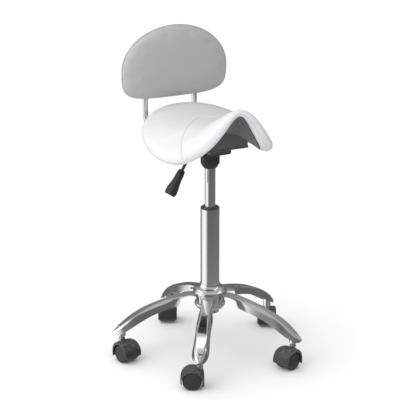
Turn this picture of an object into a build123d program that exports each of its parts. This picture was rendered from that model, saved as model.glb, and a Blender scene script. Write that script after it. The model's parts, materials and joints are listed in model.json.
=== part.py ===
"""Saddle stool with a backrest, on a gas lift and a five-arm castor base.

Millimetres, +Z up. The origin is on the column's axis at floor level. The user faces -Y,
and the height lever is on the user's right, at -X.
"""
import os
from math import copysign, cos, exp, pi, radians, sin, sqrt, tanh

from build123d import *

os.makedirs("parts", exist_ok=True)

# ---------------------------------------------------------------- driving dimensions
# base and castors
STEM_CIRCLE_R = 239
ARM_TIP_R = 265
HUB_R = 36
HUB_TOP_Z = 172
ARM_WALL = 2.5
BOSS_R = 10.5
BOSS_BOTTOM_Z = 67
STEM_R = 5.5
STEM_TOP_Z = 96
WHEEL_R = 25
WHEEL_WIDTH = 19
WHEEL_GAP = 13
CASTOR_TRAIL = 20
HOOD_TOP_Z = 57

# gas lift
TUBE_R = 25
TUBE_WALL = 2
TUBE_BOTTOM_Z = 118
TUBE_TOP_Z = 406
CYLINDER_R = 14
CYLINDER_BOTTOM_Z = 246
CYLINDER_TOP_Z = 560
ROD_R = 5
PISTON_Z = 308
RUNNING_GAP = 0.05

# mechanism
HOUSING_HALF = 42
HOUSING_BOTTOM_Z = 556
PLATE_BOTTOM_Z = 578
PLATE_THICKNESS = 3
PLATE_HALF = 75
BOLT_PITCH = 120
LEVER_PIVOT_X = -28
LEVER_PIVOT_Z = 570
LEVER_Y = -18

# saddle seat
SEAT_HALF_WIDTH = 179
SEAT_HALF_LENGTH = 170.5
SEAT_CENTRE_Y = 6.7
SEAT_EDGE_POWER = 2.1
SEAT_BASE_Z = 636.7
POMMEL_RISE = 63.5
POMMEL_Y = -150.8
POMMEL_LENGTH = 80
POMMEL_WIDTH = 82
REAR_RISE = 20.7
REAR_RIM_Y = 165
REAR_DROOP = 23
FRONT_DROOP = 85
DROOP_TURN_Y = -30.6
DROOP_TURN_LENGTH = 74
DROOP_POWER = 2.23
PAD_THICKNESS = 38
POMMEL_THINNING = 20
POMMEL_THIN_WIDTH = 61
WING_THICKENING = 8
LINING_THICKNESS = 1
SHELL_THICKNESS = 8
LAYER_GAP = 0.3
RIM_REACH = 22
RIM_SHOULDER = 5.6

# backrest
BACK_WIDTH = 312
BACK_BOTTOM_Z = 669.5
BACK_WIDEST_Z = 748.5
BACK_TOP_Z = 861.5
BACK_UPPER_POWER = 2.0
BACK_LOWER_POWER = 4.2
BACK_FRONT_Y = 165
BACK_THICKNESS = 45
BACK_ROD_X = 75
BACK_ROD_Y = 217
BACK_ROD_R = 7
BACK_ROD_LOW_Z = 586
BACK_ROD_BEND_R = 40
BACK_ROD_FRONT_Y = 76
BACK_ROD_TOP_Z = 805


def finish(piece, name):
    """Label a finished piece and write it as its own file."""
    piece.label = name
    export_step(piece, f"parts/{name}.step")


# ---------------------------------------------------------------- base: hub and arms
with BuildPart() as hub_socket:
    with BuildSketch(Plane.XZ):
        with BuildLine():
            Polyline(
                (24.1, 127),
                (24.97, HUB_TOP_Z),
                (HUB_R, HUB_TOP_Z),
                (HUB_R, 147),
                (41, 145),
                (41, 140),
                (35, 131),
                (29, 127),
                close=True,
            )
        make_face()
    revolve(axis=Axis.Z)
finish(hub_socket.part, "hub_socket")

COLLAR_TOP_Z = 200
COLLAR_R = 45
with BuildPart() as hub_collar:
    with BuildSketch(Plane.XZ):
        with BuildLine():
            bore = Line((TUBE_R, HUB_TOP_Z + 0.3), (TUBE_R, COLLAR_TOP_Z))
            lip = Line(bore @ 1, (TUBE_R + 2, COLLAR_TOP_Z))
            flare = ThreePointArc(lip @ 1, (31, 188), (COLLAR_R - 2, 180))
            rim = Line(flare @ 1, (COLLAR_R, 177))
            edge = Line(rim @ 1, (COLLAR_R, HUB_TOP_Z + 1.3))
            Line(edge @ 1, bore @ 0)
        make_face()
    revolve(axis=Axis.Z)
finish(hub_collar.part, "hub_collar")

# the arm's top line is an arc that leaves the hub level and dives to the tip
arm_line = ThreePointArc((HUB_R - 6, 172), (153, 149.5), (ARM_TIP_R, 77)).edge()
# how far along the line, half the top face, half the open bottom, the height
ARM_STATIONS = [
    (0.00, 12, 18, 24),
    (0.30, 13, 18.5, 23),
    (0.60, 14, 20, 22),
    (0.82, 12.5, 22, 20),
    (0.93, 7, 19, 15),
    (1.00, 1.5, 8, 9),
]


def arm_section(fraction, top_half, bottom_half, height, inset):
    """One cross-section of the arm, a trapezium with eased upper corners, on its own plane."""
    point = arm_line @ fraction
    along = arm_line % fraction
    plane = Plane(origin=(point.X, 0, point.Y), x_dir=(0, 1, 0), z_dir=(along.X, 0, along.Y))
    top_half -= inset
    bottom_half -= inset
    ease = min(3.0, 0.5 * top_half)
    flare = (bottom_half - top_half) / height
    # one side from the middle down; local y points up, square to the top line
    side = [
        (top_half - ease, -inset),
        (top_half - 0.25 * ease, -inset - 0.22 * ease),
        (top_half + 0.15 * ease, -inset - 0.7 * ease),
        (top_half + 1.5 * ease * flare + 0.3 * ease, -inset - 1.5 * ease),
        (bottom_half, -height - inset),
    ]
    return plane, side + [(-x, y) for x, y in reversed(side)]


def arm_loft(stations, inset):
    """The lofted body of an arm; the inset gives the hollow under it."""
    with BuildPart() as body:
        for station in stations:
            plane, corners = arm_section(*station, inset)
            with BuildSketch(plane):
                with BuildLine():
                    Polyline(*corners, close=True)
                make_face()
        loft()
    return body.part


arm_outer = arm_loft(ARM_STATIONS, 0.0)
arm_hollow = arm_loft(ARM_STATIONS[:-1], ARM_WALL)
with BuildPart() as arm:
    add(arm_outer)
    add(arm_hollow, mode=Mode.SUBTRACT)
    with BuildSketch(Plane.XY.offset(BOSS_BOTTOM_Z)):
        with Locations((STEM_CIRCLE_R, 0)):
            Circle(BOSS_R)
    extrude(amount=STEM_TOP_Z - BOSS_BOTTOM_Z - 1)
    with BuildSketch(Plane.XY.offset(BOSS_BOTTOM_Z)):
        with Locations((STEM_CIRCLE_R, 0)):
            Circle(STEM_R + RUNNING_GAP)
    extrude(amount=STEM_TOP_Z - BOSS_BOTTOM_Z - 4, mode=Mode.SUBTRACT)
    with BuildSketch(Plane.XY.offset(100)):
        Circle(HUB_R)
    extrude(amount=100, mode=Mode.SUBTRACT)

ARM_ANGLES = {
    "rear": 90,
    "rear_right": 162,
    "front_right": 234,
    "front_left": 306,
    "rear_left": 18,
}
for side, angle in ARM_ANGLES.items():
    finish(arm.part.rotate(Axis.Z, angle), f"arm_{side}")

# ---------------------------------------------------------------- castors
# one castor is modelled with its stem on Z and its trail along +X, then placed five times
AXLE_Z = WHEEL_R
WHEEL_INNER_Y = WHEEL_GAP / 2
WHEEL_OUTER_Y = WHEEL_INNER_Y + WHEEL_WIDTH
AXLE_R = 4
WEB_HALF = WHEEL_INNER_Y - 0.5
HOOD_INNER_R = WHEEL_R + 1.5
HOOD_OUTER_R = WHEEL_R + 5
HOOD_FRONT_X = -11
HOOD_FRONT_LOW_Z = 11
STEM_BLOCK_BOTTOM_Z = 48.5
STEM_BOTTOM_Z = 40

with BuildPart() as stem:
    with BuildSketch(Plane.XY.offset(STEM_BOTTOM_Z)):
        Circle(STEM_R)
    extrude(amount=STEM_TOP_Z - 7 - STEM_BOTTOM_Z)
    with BuildSketch(Plane.XY.offset(HOOD_TOP_Z)):
        Circle(8.5)
    extrude(amount=3)
    with BuildSketch(Plane.XY.offset(HOOD_TOP_Z + 3)):
        Circle(7)
    extrude(amount=BOSS_BOTTOM_Z - HOOD_TOP_Z - 3 - 0.6)
    chamfer(stem.faces().sort_by(Axis.Z)[-1].edges(), 1.2)

axle_line = Axis((CASTOR_TRAIL, 0, AXLE_Z), (0, 1, 0))
HOOD_HALF = WHEEL_OUTER_Y + 1
with BuildPart() as hood:
    # a fender over both wheels: its section turns back over the wheels and runs level to the front
    with BuildSketch(Plane.YZ.offset(CASTOR_TRAIL)) as fender:
        with BuildLine():
            low = AXLE_Z + HOOD_INNER_R
            high = AXLE_Z + HOOD_OUTER_R
            sill = Line((-HOOD_HALF, low), (HOOD_HALF, low))
            left_bend = RadiusArc((HOOD_HALF, low), (HOOD_HALF - 3.4, high), -3.45)
            roof = Line(left_bend @ 1, (3.4 - HOOD_HALF, high))
            RadiusArc(roof @ 1, sill @ 0, -3.45)
        make_face()
    revolve(axis=axle_line, revolution_arc=104)
    extrude(fender.sketch, amount=HOOD_FRONT_X - CASTOR_TRAIL)
    # the front wall, and the block that holds the stem
    with BuildSketch(Plane.YZ.offset(HOOD_FRONT_X)) as nose:
        with BuildLine():
            Polyline(
                (-HOOD_HALF, AXLE_Z + HOOD_INNER_R),
                (-HOOD_HALF, HOOD_FRONT_LOW_Z + 9),
                (-HOOD_HALF + 7, HOOD_FRONT_LOW_Z),
                (HOOD_HALF - 7, HOOD_FRONT_LOW_Z),
                (HOOD_HALF, HOOD_FRONT_LOW_Z + 9),
                (HOOD_HALF, AXLE_Z + HOOD_INNER_R),
                close=True,
            )
        make_face()
    extrude(amount=3)
    with BuildSketch(Plane.XY.offset(STEM_BLOCK_BOTTOM_Z)):
        Circle(9.5)
    extrude(amount=HOOD_TOP_Z - STEM_BLOCK_BOTTOM_Z)
    # the web between the wheels carries the axle
    with BuildSketch(Plane.XZ):
        with BuildLine():
            Polyline(
                (HOOD_FRONT_X + 3.5, 20.2),
                (HOOD_FRONT_X + 3.5, 50),
                (8, 52),
                (CASTOR_TRAIL + 20, 46),
                (CASTOR_TRAIL + 9, AXLE_Z - 8),
                (CASTOR_TRAIL - 9, AXLE_Z - 10),
                close=True,
            )
        make_face()
    extrude(amount=WEB_HALF, both=True)
    # stem bore and axle bore
    with BuildSketch(Plane.XY.offset(STEM_BOTTOM_Z)):
        Circle(STEM_R)
    extrude(amount=HOOD_TOP_Z - STEM_BOTTOM_Z, mode=Mode.SUBTRACT)
    with BuildSketch(Plane.XZ):
        with Locations((CASTOR_TRAIL, AXLE_Z)):
            Circle(AXLE_R)
    extrude(amount=WEB_HALF, both=True, mode=Mode.SUBTRACT)

with BuildPart() as axle:
    with BuildSketch(Plane.XZ):
        with Locations((CASTOR_TRAIL, AXLE_Z)):
            Circle(AXLE_R)
    extrude(amount=WHEEL_OUTER_Y - 4, both=True)

with BuildPart() as wheel:
    # half section, turned about the axle: a dished outer face, a rounded tread, a blind bore
    with BuildSketch(Plane.YZ.offset(CASTOR_TRAIL)):
        with BuildLine():
            Polyline(
                (WHEEL_INNER_Y, AXLE_Z + AXLE_R + RUNNING_GAP),
                (WHEEL_INNER_Y, AXLE_Z + WHEEL_R - 3),
                (WHEEL_INNER_Y + 3, AXLE_Z + WHEEL_R),
                (WHEEL_OUTER_Y - 3.5, AXLE_Z + WHEEL_R),
                (WHEEL_OUTER_Y - 1, AXLE_Z + WHEEL_R - 3),
                (WHEEL_OUTER_Y - 0.5, AXLE_Z + 14),
                (WHEEL_OUTER_Y, AXLE_Z),
                (WHEEL_OUTER_Y - 3.5, AXLE_Z),
                (WHEEL_OUTER_Y - 3.5, AXLE_Z + AXLE_R + RUNNING_GAP),
                close=True,
            )
        make_face()
    revolve(axis=axle_line)
other_wheel = mirror(wheel.part, about=Plane.XZ)

# the way each castor's wheels trail from its stem, as a heading about Z
CASTOR_HEADINGS = {
    "rear": 61,
    "rear_right": -78,
    "front_right": 150,
    "front_left": 195,
    "rear_left": 61,
}


def castor_place(side):
    """The castor's own plane: stem axis on Z, trail along X."""
    angle = radians(ARM_ANGLES[side])
    heading = radians(CASTOR_HEADINGS[side])
    return Plane(
        origin=(STEM_CIRCLE_R * cos(angle), STEM_CIRCLE_R * sin(angle), 0),
        x_dir=(cos(heading), sin(heading), 0),
        z_dir=(0, 0, 1),
    ).location


CASTOR_PIECES = {
    "stem": stem.part,
    "hood": hood.part,
    "axle": axle.part,
    "wheel_a": wheel.part,
    "wheel_b": other_wheel,
}
for side in ARM_ANGLES:
    for name, piece in CASTOR_PIECES.items():
        finish(piece.moved(castor_place(side)), f"{name}_{side}")

# ---------------------------------------------------------------- gas lift
with BuildPart() as stand_tube:
    with BuildSketch(Plane.XZ):
        with BuildLine():
            Polyline(
                (ROD_R + RUNNING_GAP, TUBE_BOTTOM_Z),
                (24.0, TUBE_BOTTOM_Z),
                (24.1, 127),
                (24.97, HUB_TOP_Z),
                (TUBE_R, HUB_TOP_Z + 0.3),
                (TUBE_R, TUBE_TOP_Z),
                (TUBE_R - TUBE_WALL, TUBE_TOP_Z),
                (TUBE_R - TUBE_WALL, HUB_TOP_Z),
                (22.0, TUBE_BOTTOM_Z + 4),
                (ROD_R + RUNNING_GAP, TUBE_BOTTOM_Z + 4),
                close=True,
            )
        make_face()
    revolve(axis=Axis.Z)
finish(stand_tube.part, "stand_tube")

BUSH_LENGTH = 76
with BuildPart() as guide_bush:
    with BuildSketch(Plane.XZ):
        with BuildLine():
            Polyline(
                (CYLINDER_R + RUNNING_GAP, TUBE_TOP_Z - BUSH_LENGTH),
                (TUBE_R - TUBE_WALL, TUBE_TOP_Z - BUSH_LENGTH),
                (TUBE_R - TUBE_WALL, TUBE_TOP_Z),
                (TUBE_R, TUBE_TOP_Z),
                (TUBE_R, TUBE_TOP_Z + 2.5),
                (TUBE_R - 3, TUBE_TOP_Z + 5),
                (CYLINDER_R + RUNNING_GAP, TUBE_TOP_Z + 5),
                close=True,
            )
        make_face()
    revolve(axis=Axis.Z)
finish(guide_bush.part, "guide_bush")

BEARING_BOTTOM_Z = TUBE_BOTTOM_Z + 4
BEARING_HEIGHT = 5
ROD_SHOULDER_Z = BEARING_BOTTOM_Z + BEARING_HEIGHT + RUNNING_GAP
with BuildPart() as thrust_bearing:
    with BuildSketch(Plane.XY.offset(BEARING_BOTTOM_Z)):
        Circle(12)
        Circle(ROD_R + RUNNING_GAP, mode=Mode.SUBTRACT)
    extrude(amount=BEARING_HEIGHT)
    with BuildSketch(Plane.XY.offset(BEARING_BOTTOM_Z + 1.5)):
        Circle(12)
        Circle(11, mode=Mode.SUBTRACT)
    extrude(amount=BEARING_HEIGHT - 3, mode=Mode.SUBTRACT)
finish(thrust_bearing.part, "thrust_bearing")

with BuildPart() as piston_rod:
    with BuildSketch(Plane.XY.offset(TUBE_BOTTOM_Z - 5)):
        Circle(ROD_R)
    extrude(amount=PISTON_Z + 14 - TUBE_BOTTOM_Z + 5)
    with BuildSketch(Plane.XY.offset(ROD_SHOULDER_Z)):
        Circle(8)
    extrude(amount=3)
finish(piston_rod.part, "piston_rod")

with BuildPart() as piston:
    with BuildSketch(Plane.XY.offset(PISTON_Z)):
        Circle(CYLINDER_R - 2 - RUNNING_GAP)
        Circle(ROD_R, mode=Mode.SUBTRACT)
    extrude(amount=14)
    with BuildSketch(Plane.XY.offset(PISTON_Z + 5)):
        Circle(CYLINDER_R)
        Circle(CYLINDER_R - 3.5, mode=Mode.SUBTRACT)
    extrude(amount=4, mode=Mode.SUBTRACT)
finish(piston.part, "piston")

with BuildPart() as retaining_clip:
    with BuildSketch(Plane.XY.offset(TUBE_BOTTOM_Z - 0.1)):
        Circle(9)
        Circle(ROD_R, mode=Mode.SUBTRACT)
    extrude(amount=-1.5)
finish(retaining_clip.part, "retaining_clip")

with BuildPart() as bump_stop:
    with BuildSketch(Plane.XY.offset(ROD_SHOULDER_Z + 3)):
        Circle(11)
        Circle(ROD_R, mode=Mode.SUBTRACT)
    extrude(amount=12)
    fillet(bump_stop.faces().sort_by(Axis.Z)[-1].edges().sort_by(SortBy.RADIUS)[-1], 2)
finish(bump_stop.part, "bump_stop")

CYLINDER_WALL = 2
PLUG_HEIGHT = 20
with BuildPart() as pressure_cylinder:
    with BuildSketch(Plane.XY.offset(CYLINDER_BOTTOM_Z)):
        Circle(CYLINDER_R)
    extrude(amount=CYLINDER_TOP_Z - CYLINDER_BOTTOM_Z)
    with BuildSketch(Plane.XY.offset(CYLINDER_BOTTOM_Z)):
        Circle(CYLINDER_R - CYLINDER_WALL)
    extrude(amount=CYLINDER_TOP_Z - 15 - CYLINDER_BOTTOM_Z, mode=Mode.SUBTRACT)
    with BuildSketch(Plane.XY.offset(CYLINDER_TOP_Z - 15)):
        Circle(3 + RUNNING_GAP)
    extrude(amount=15, mode=Mode.SUBTRACT)
    outer_rim = pressure_cylinder.faces().sort_by(Axis.Z)[-1].edges().sort_by(SortBy.RADIUS)[-1]
    chamfer(outer_rim, 1.5)
finish(pressure_cylinder.part, "pressure_cylinder")

with BuildPart() as rod_guide:
    with BuildSketch(Plane.XY.offset(CYLINDER_BOTTOM_Z)):
        Circle(CYLINDER_R - CYLINDER_WALL)
        Circle(ROD_R + RUNNING_GAP, mode=Mode.SUBTRACT)
    extrude(amount=PLUG_HEIGHT)
finish(rod_guide.part, "rod_guide")

PIN_TOP_Z = 566
with BuildPart() as release_pin:
    with BuildSketch(Plane.XY.offset(CYLINDER_TOP_Z - 11)):
        Circle(3)
    extrude(amount=PIN_TOP_Z - CYLINDER_TOP_Z + 11)
    chamfer(release_pin.faces().sort_by(Axis.Z)[-1].edges(), 0.6)
finish(release_pin.part, "release_pin")

# ---------------------------------------------------------------- mechanism
SOCKET_R = 18
SOCKET_BOTTOM_Z = 532
HOUSING_WALL = 2.5
HOUSING_SIDE = 2 * HOUSING_HALF
ROOM_SIDE = HOUSING_SIDE - 2 * HOUSING_WALL
ROOM_CORNER_R = 6.5
FLANGE_SIDE = 112
with BuildPart() as mechanism_housing:
    # pressed box, open at the top, with outward flanges under the seat plate
    with BuildSketch(Plane.XY.offset(HOUSING_BOTTOM_Z)):
        RectangleRounded(HOUSING_SIDE, HOUSING_SIDE, 9)
    extrude(amount=PLATE_BOTTOM_Z - HOUSING_BOTTOM_Z)
    fillet(mechanism_housing.faces().sort_by(Axis.Z)[0].edges(), 4)
    with BuildSketch(Plane.XY.offset(HOUSING_BOTTOM_Z + HOUSING_WALL)):
        RectangleRounded(ROOM_SIDE, ROOM_SIDE, ROOM_CORNER_R)
    extrude(amount=PLATE_BOTTOM_Z - HOUSING_BOTTOM_Z, mode=Mode.SUBTRACT)
    with BuildSketch(Plane.XY.offset(PLATE_BOTTOM_Z - HOUSING_WALL)):
        RectangleRounded(FLANGE_SIDE, FLANGE_SIDE, 10)
        RectangleRounded(ROOM_SIDE, ROOM_SIDE, ROOM_CORNER_R, mode=Mode.SUBTRACT)
    extrude(amount=HOUSING_WALL)
    # the taper socket is a tube through the box's floor
    with BuildSketch(Plane.XY.offset(SOCKET_BOTTOM_Z)):
        Circle(SOCKET_R)
    extrude(amount=CYLINDER_TOP_Z - SOCKET_BOTTOM_Z)
    with BuildSketch(Plane.XY.offset(SOCKET_BOTTOM_Z)):
        Circle(CYLINDER_R)
    extrude(amount=CYLINDER_TOP_Z - SOCKET_BOTTOM_Z, mode=Mode.SUBTRACT)
    # bores for the lever's pivot and a slot for the lever
    with BuildSketch(Plane.XZ):
        with Locations((LEVER_PIVOT_X, LEVER_PIVOT_Z)):
            Circle(3)
    extrude(amount=HOUSING_HALF + 1, both=True, mode=Mode.SUBTRACT)
    with BuildSketch(Plane.YZ.offset(-HOUSING_HALF - 1)):
        with Locations((LEVER_Y, (HOUSING_BOTTOM_Z + PLATE_BOTTOM_Z) / 2 + 1)):
            Rectangle(14, 15)
    extrude(amount=HOUSING_WALL + 2, mode=Mode.SUBTRACT)
finish(mechanism_housing.part, "mechanism_housing")

with BuildPart() as socket_funnel:
    with BuildSketch(Plane.XZ):
        with BuildLine():
            Polyline(
                (CYLINDER_R + 0.3, 516),
                (16.5, 516),
                (24, 527),
                (25, 531),
                (25, HOUSING_BOTTOM_Z - 6),
                (31, HOUSING_BOTTOM_Z - 0.2),
                (SOCKET_R + 0.2, HOUSING_BOTTOM_Z - 0.2),
                (SOCKET_R + 0.2, SOCKET_BOTTOM_Z - 0.3),
                (CYLINDER_R + 0.3, SOCKET_BOTTOM_Z - 0.3),
                close=True,
            )
        make_face()
    revolve(axis=Axis.Z)
finish(socket_funnel.part, "socket_funnel")

with BuildPart() as seat_plate:
    with BuildSketch(Plane.XY.offset(PLATE_BOTTOM_Z)):
        RectangleRounded(2 * PLATE_HALF, 2 * PLATE_HALF, 10)
        with GridLocations(BOLT_PITCH, BOLT_PITCH, 2, 2):
            Circle(3.2, mode=Mode.SUBTRACT)
    extrude(amount=PLATE_THICKNESS)
finish(seat_plate.part, "seat_plate")

with BuildPart() as lever_pivot:
    with BuildSketch(Plane.XZ):
        with Locations((LEVER_PIVOT_X, LEVER_PIVOT_Z)):
            Circle(3)
    extrude(amount=HOUSING_HALF, both=True)
    for y_side in (-1, 1):
        with BuildSketch(Plane.XZ.offset(-y_side * HOUSING_HALF)):
            with Locations((LEVER_PIVOT_X, LEVER_PIVOT_Z)):
                RegularPolygon(5, 6)
        extrude(amount=-y_side * 3)
finish(lever_pivot.part, "lever_pivot")

# the lever leaves the box nearly level, then turns down and out to its grip
GRIP_TOP = (-93, 526)
GRIP_SLOPE = radians(238.2)
GRIP_LENGTH = 71


def along_grip(reach):
    """A point on the lever's outer line, counted from the top of the grip."""
    return (GRIP_TOP[0] + reach * cos(GRIP_SLOPE), GRIP_TOP[1] + reach * sin(GRIP_SLOPE))


lever_plane = Plane(origin=(0, LEVER_Y, 0), x_dir=(1, 0, 0), z_dir=(0, -1, 0))
with BuildPart() as lever_rod:
    with BuildLine(lever_plane) as lever_path:
        FilletPolyline(
            (LEVER_PIVOT_X - 5.8, 568.4),
            along_grip(-43.6),
            along_grip(35),
            radius=12,
        )
    start_plane = Plane(origin=lever_path.wire() @ 0, z_dir=lever_path.wire() % 0)
    with BuildSketch(start_plane):
        Circle(4)
    sweep(path=lever_path.wire())
    # the pivot tube and the finger that presses the release pin
    with BuildSketch(Plane.XZ.offset(30)):
        with Locations((LEVER_PIVOT_X, LEVER_PIVOT_Z)):
            Circle(6)
    extrude(amount=-40)
    with BuildSketch(Plane.XZ.offset(4)):
        with BuildLine():
            Polyline(
                (LEVER_PIVOT_X, LEVER_PIVOT_Z - 2),
                (-8, PIN_TOP_Z + 0.4),
                (4, PIN_TOP_Z + 0.4),
                (4, LEVER_PIVOT_Z + 2),
                (LEVER_PIVOT_X, LEVER_PIVOT_Z + 4),
                close=True,
            )
        make_face()
    extrude(amount=-8)
    with BuildSketch(Plane.XZ.offset(31)):
        with Locations((LEVER_PIVOT_X, LEVER_PIVOT_Z)):
            Circle(3 + RUNNING_GAP)
    extrude(amount=-42, mode=Mode.SUBTRACT)
finish(lever_rod.part, "lever_rod")

# the grip is a paddle that widens towards its end
grip_axis = (cos(GRIP_SLOPE), 0, sin(GRIP_SLOPE))


def grip_plane(reach):
    """A plane square to the grip's axis."""
    x, z = along_grip(reach)
    return Plane(origin=(x, LEVER_Y, z), x_dir=(0, 1, 0), z_dir=grip_axis)


GRIP_STATIONS = [(0.0, 16, 13), (0.12, 19, 15), (0.6, 25, 19), (0.92, 29, 21), (1.0, 26, 18)]
with BuildPart() as lever_grip:
    for fraction, grip_width, grip_depth in GRIP_STATIONS:
        with BuildSketch(grip_plane(fraction * GRIP_LENGTH)):
            RectangleRounded(grip_width, grip_depth, 4)
    loft()
    with BuildSketch(grip_plane(0)):
        Circle(4)
    extrude(amount=36, mode=Mode.SUBTRACT)
finish(lever_grip.part, "lever_grip")

# ---------------------------------------------------------------- saddle seat
OUTLINE_POINTS = 24
SLAB_BOTTOM_Z = 480
SLAB_HEIGHT = 280
DRILL_BOTTOM_Z = 540
DRILL_LENGTH = 130


def seat_height(x, y):
    """Height of the seat's upper surface: pommel in front, low middle, drooping wings."""
    pommel = POMMEL_RISE * exp(-(((y - POMMEL_Y) / POMMEL_LENGTH) ** 2)) * exp(-((x / POMMEL_WIDTH) ** 2))
    rear = REAR_RISE * (max(y, 0) / REAR_RIM_Y) ** 2
    turn = 0.5 - 0.5 * tanh((y - DROOP_TURN_Y) / DROOP_TURN_LENGTH)
    droop = (REAR_DROOP + (FRONT_DROOP - REAR_DROOP) * turn) * (abs(x) / 170) ** DROOP_POWER
    return SEAT_BASE_Z + pommel + rear - droop


def pad_thickness(x, y):
    """Thickness of the whole pad: thin at the pommel's nose, fuller in the wings."""
    thinning = exp(-(((y - POMMEL_Y) / POMMEL_LENGTH) ** 2)) * exp(-((x / POMMEL_THIN_WIDTH) ** 2))
    wings = (abs(x) / SEAT_HALF_WIDTH) ** 3
    return PAD_THICKNESS - POMMEL_THINNING * thinning + WING_THICKENING * wings


def seat_normal(x, y):
    """Unit normal of the upper surface."""
    slope_x = seat_height(x + 0.5, y) - seat_height(x - 0.5, y)
    slope_y = seat_height(x, y + 0.5) - seat_height(x, y - 0.5)
    length = sqrt(slope_x**2 + slope_y**2 + 1)
    return (-slope_x / length, -slope_y / length, 1 / length)


def seat_layer(share, lift=0.0):
    """A face parallel to the seat at a share of the pad's depth, lifted by a few millimetres."""
    rows = []
    for i in range(-10, 11):
        row = []
        for j in range(-10, 11):
            x = 26.0 * i
            y = SEAT_CENTRE_Y + 24.0 * j
            depth = share * pad_thickness(x, y) - lift
            nx, ny, nz = seat_normal(x, y)
            row.append((x - nx * depth, y - ny * depth, seat_height(x, y) - nz * depth))
        rows.append(row)
    return Face.make_surface_from_array_of_points(rows, tol=0.05)


def plan_point(angle, inset):
    """A point of the seat's plan, a soft-cornered oval, counted from the front."""
    s = sin(angle)
    c = cos(angle)
    x = (SEAT_HALF_WIDTH - inset) * copysign(abs(s) ** (2 / SEAT_EDGE_POWER), s)
    y = SEAT_CENTRE_Y - (SEAT_HALF_LENGTH - inset) * copysign(abs(c) ** (2 / SEAT_EDGE_POWER), c)
    return x, y


def seat_outline(inset, share):
    """The pad's outline in plan at a share of its depth: the rim stands square to the surface."""
    points = []
    for step in range(OUTLINE_POINTS):
        angle = 2 * pi * (step + 0.5) / OUTLINE_POINTS
        x, y = plan_point(angle, RIM_REACH)
        full_x, full_y = plan_point(angle, 0)
        nx, ny, nz = seat_normal(x, y)
        lean = (full_x - x) * nx + (full_y - y) * ny
        out_x, out_y, out_z = full_x - x - lean * nx, full_y - y - lean * ny, -lean * nz
        length = sqrt(out_x**2 + out_y**2 + out_z**2)
        thickness = pad_thickness(x, y)
        reach = (RIM_REACH - inset) * min(1, thickness / PAD_THICKNESS) / length
        depth = share * thickness
        points.append((x + out_x * reach - nx * depth, y + out_y * reach - ny * depth))
    return points


def saddle_slab(outline, low, high):
    """A slab of the seat between two layers, each a share of the depth and a lift."""
    with BuildPart() as slab:
        with BuildSketch(Plane.XY.offset(SLAB_BOTTOM_Z)):
            with BuildLine():
                Spline(*outline, periodic=True)
            make_face()
        extrude(amount=SLAB_HEIGHT)
        split(bisect_by=seat_layer(*high), keep=Keep.BOTTOM)
        split(bisect_by=seat_layer(*low), keep=Keep.TOP)
    return slab


SHELL_LOW = LINING_THICKNESS + LAYER_GAP
SHELL_HIGH = SHELL_LOW + SHELL_THICKNESS
SHELL_SHARE = 1 - (SHELL_LOW + SHELL_HIGH) / 2 / PAD_THICKNESS
SHELL_INSET = 27
LINING_INSET = 24
bolt_spots = GridLocations(BOLT_PITCH, BOLT_PITCH, 2, 2).locations
bolt_points = [(spot.position.X, spot.position.Y) for spot in bolt_spots]
BOLT_R = 3
BRACKET_Y = (82, 108)
BRACKET_HALF_X = 92
BRACKET_BOTTOM_Z = BACK_ROD_LOW_Z - 8.5
SCREW_POINTS = [(-45, sum(BRACKET_Y) / 2), (45, sum(BRACKET_Y) / 2)]
HEAD_HEIGHT = 4
BARREL_R = 4.5
BARREL_CLEAR = 1.8


def shell_underside(x, y):
    """Height of the shell's underside at a point in plan, found by walking down the normal."""
    px, py = x, y
    for _ in range(6):
        nx, ny, nz = seat_normal(px, py)
        depth = pad_thickness(px, py) - SHELL_LOW
        px, py = x + nx * depth, y + ny * depth
    return seat_height(px, py) - nz * depth


# the rim is stepped in three layers, the middle one the widest, and they run into each other
LAYER_OVERLAP = 0.03
with BuildPart() as seat_cushion:
    add(saddle_slab(seat_outline(RIM_SHOULDER, 1 / 6), (1 / 3 + LAYER_OVERLAP,), (0,)).part)
    add(saddle_slab(seat_outline(0, 1 / 2), (2 / 3 + LAYER_OVERLAP,), (1 / 3 - LAYER_OVERLAP,)).part)
    add(saddle_slab(seat_outline(RIM_SHOULDER, 5 / 6), (1, SHELL_LOW), (2 / 3 - LAYER_OVERLAP,)).part)
    # room for the shell
    room = seat_outline(SHELL_INSET - LAYER_GAP, SHELL_SHARE)
    add(saddle_slab(room, (1, -6), (1, SHELL_HIGH + LAYER_GAP)).part, mode=Mode.SUBTRACT)
finish(seat_cushion.part, "seat_cushion")

with BuildPart() as seat_lining:
    add(saddle_slab(seat_outline(LINING_INSET, 1), (1, 0), (1, LINING_THICKNESS)).part)
    with BuildSketch(Plane.XY.offset(DRILL_BOTTOM_Z)):
        with Locations(*bolt_points, *SCREW_POINTS):
            Circle(BARREL_R + 0.7)
    extrude(amount=DRILL_LENGTH, mode=Mode.SUBTRACT)
finish(seat_lining.part, "seat_lining")

with BuildPart() as seat_shell:
    add(saddle_slab(seat_outline(SHELL_INSET, SHELL_SHARE), (1, SHELL_LOW), (1, SHELL_HIGH)).part)
    with BuildSketch(Plane.XY.offset(DRILL_BOTTOM_Z)):
        with Locations(*bolt_points):
            Circle(BARREL_R)
    extrude(amount=DRILL_LENGTH, mode=Mode.SUBTRACT)
    with BuildSketch(Plane.XY.offset(DRILL_BOTTOM_Z)):
        with Locations(*SCREW_POINTS):
            Circle(BOLT_R)
    extrude(amount=DRILL_LENGTH, mode=Mode.SUBTRACT)
finish(seat_shell.part, "seat_shell")

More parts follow.
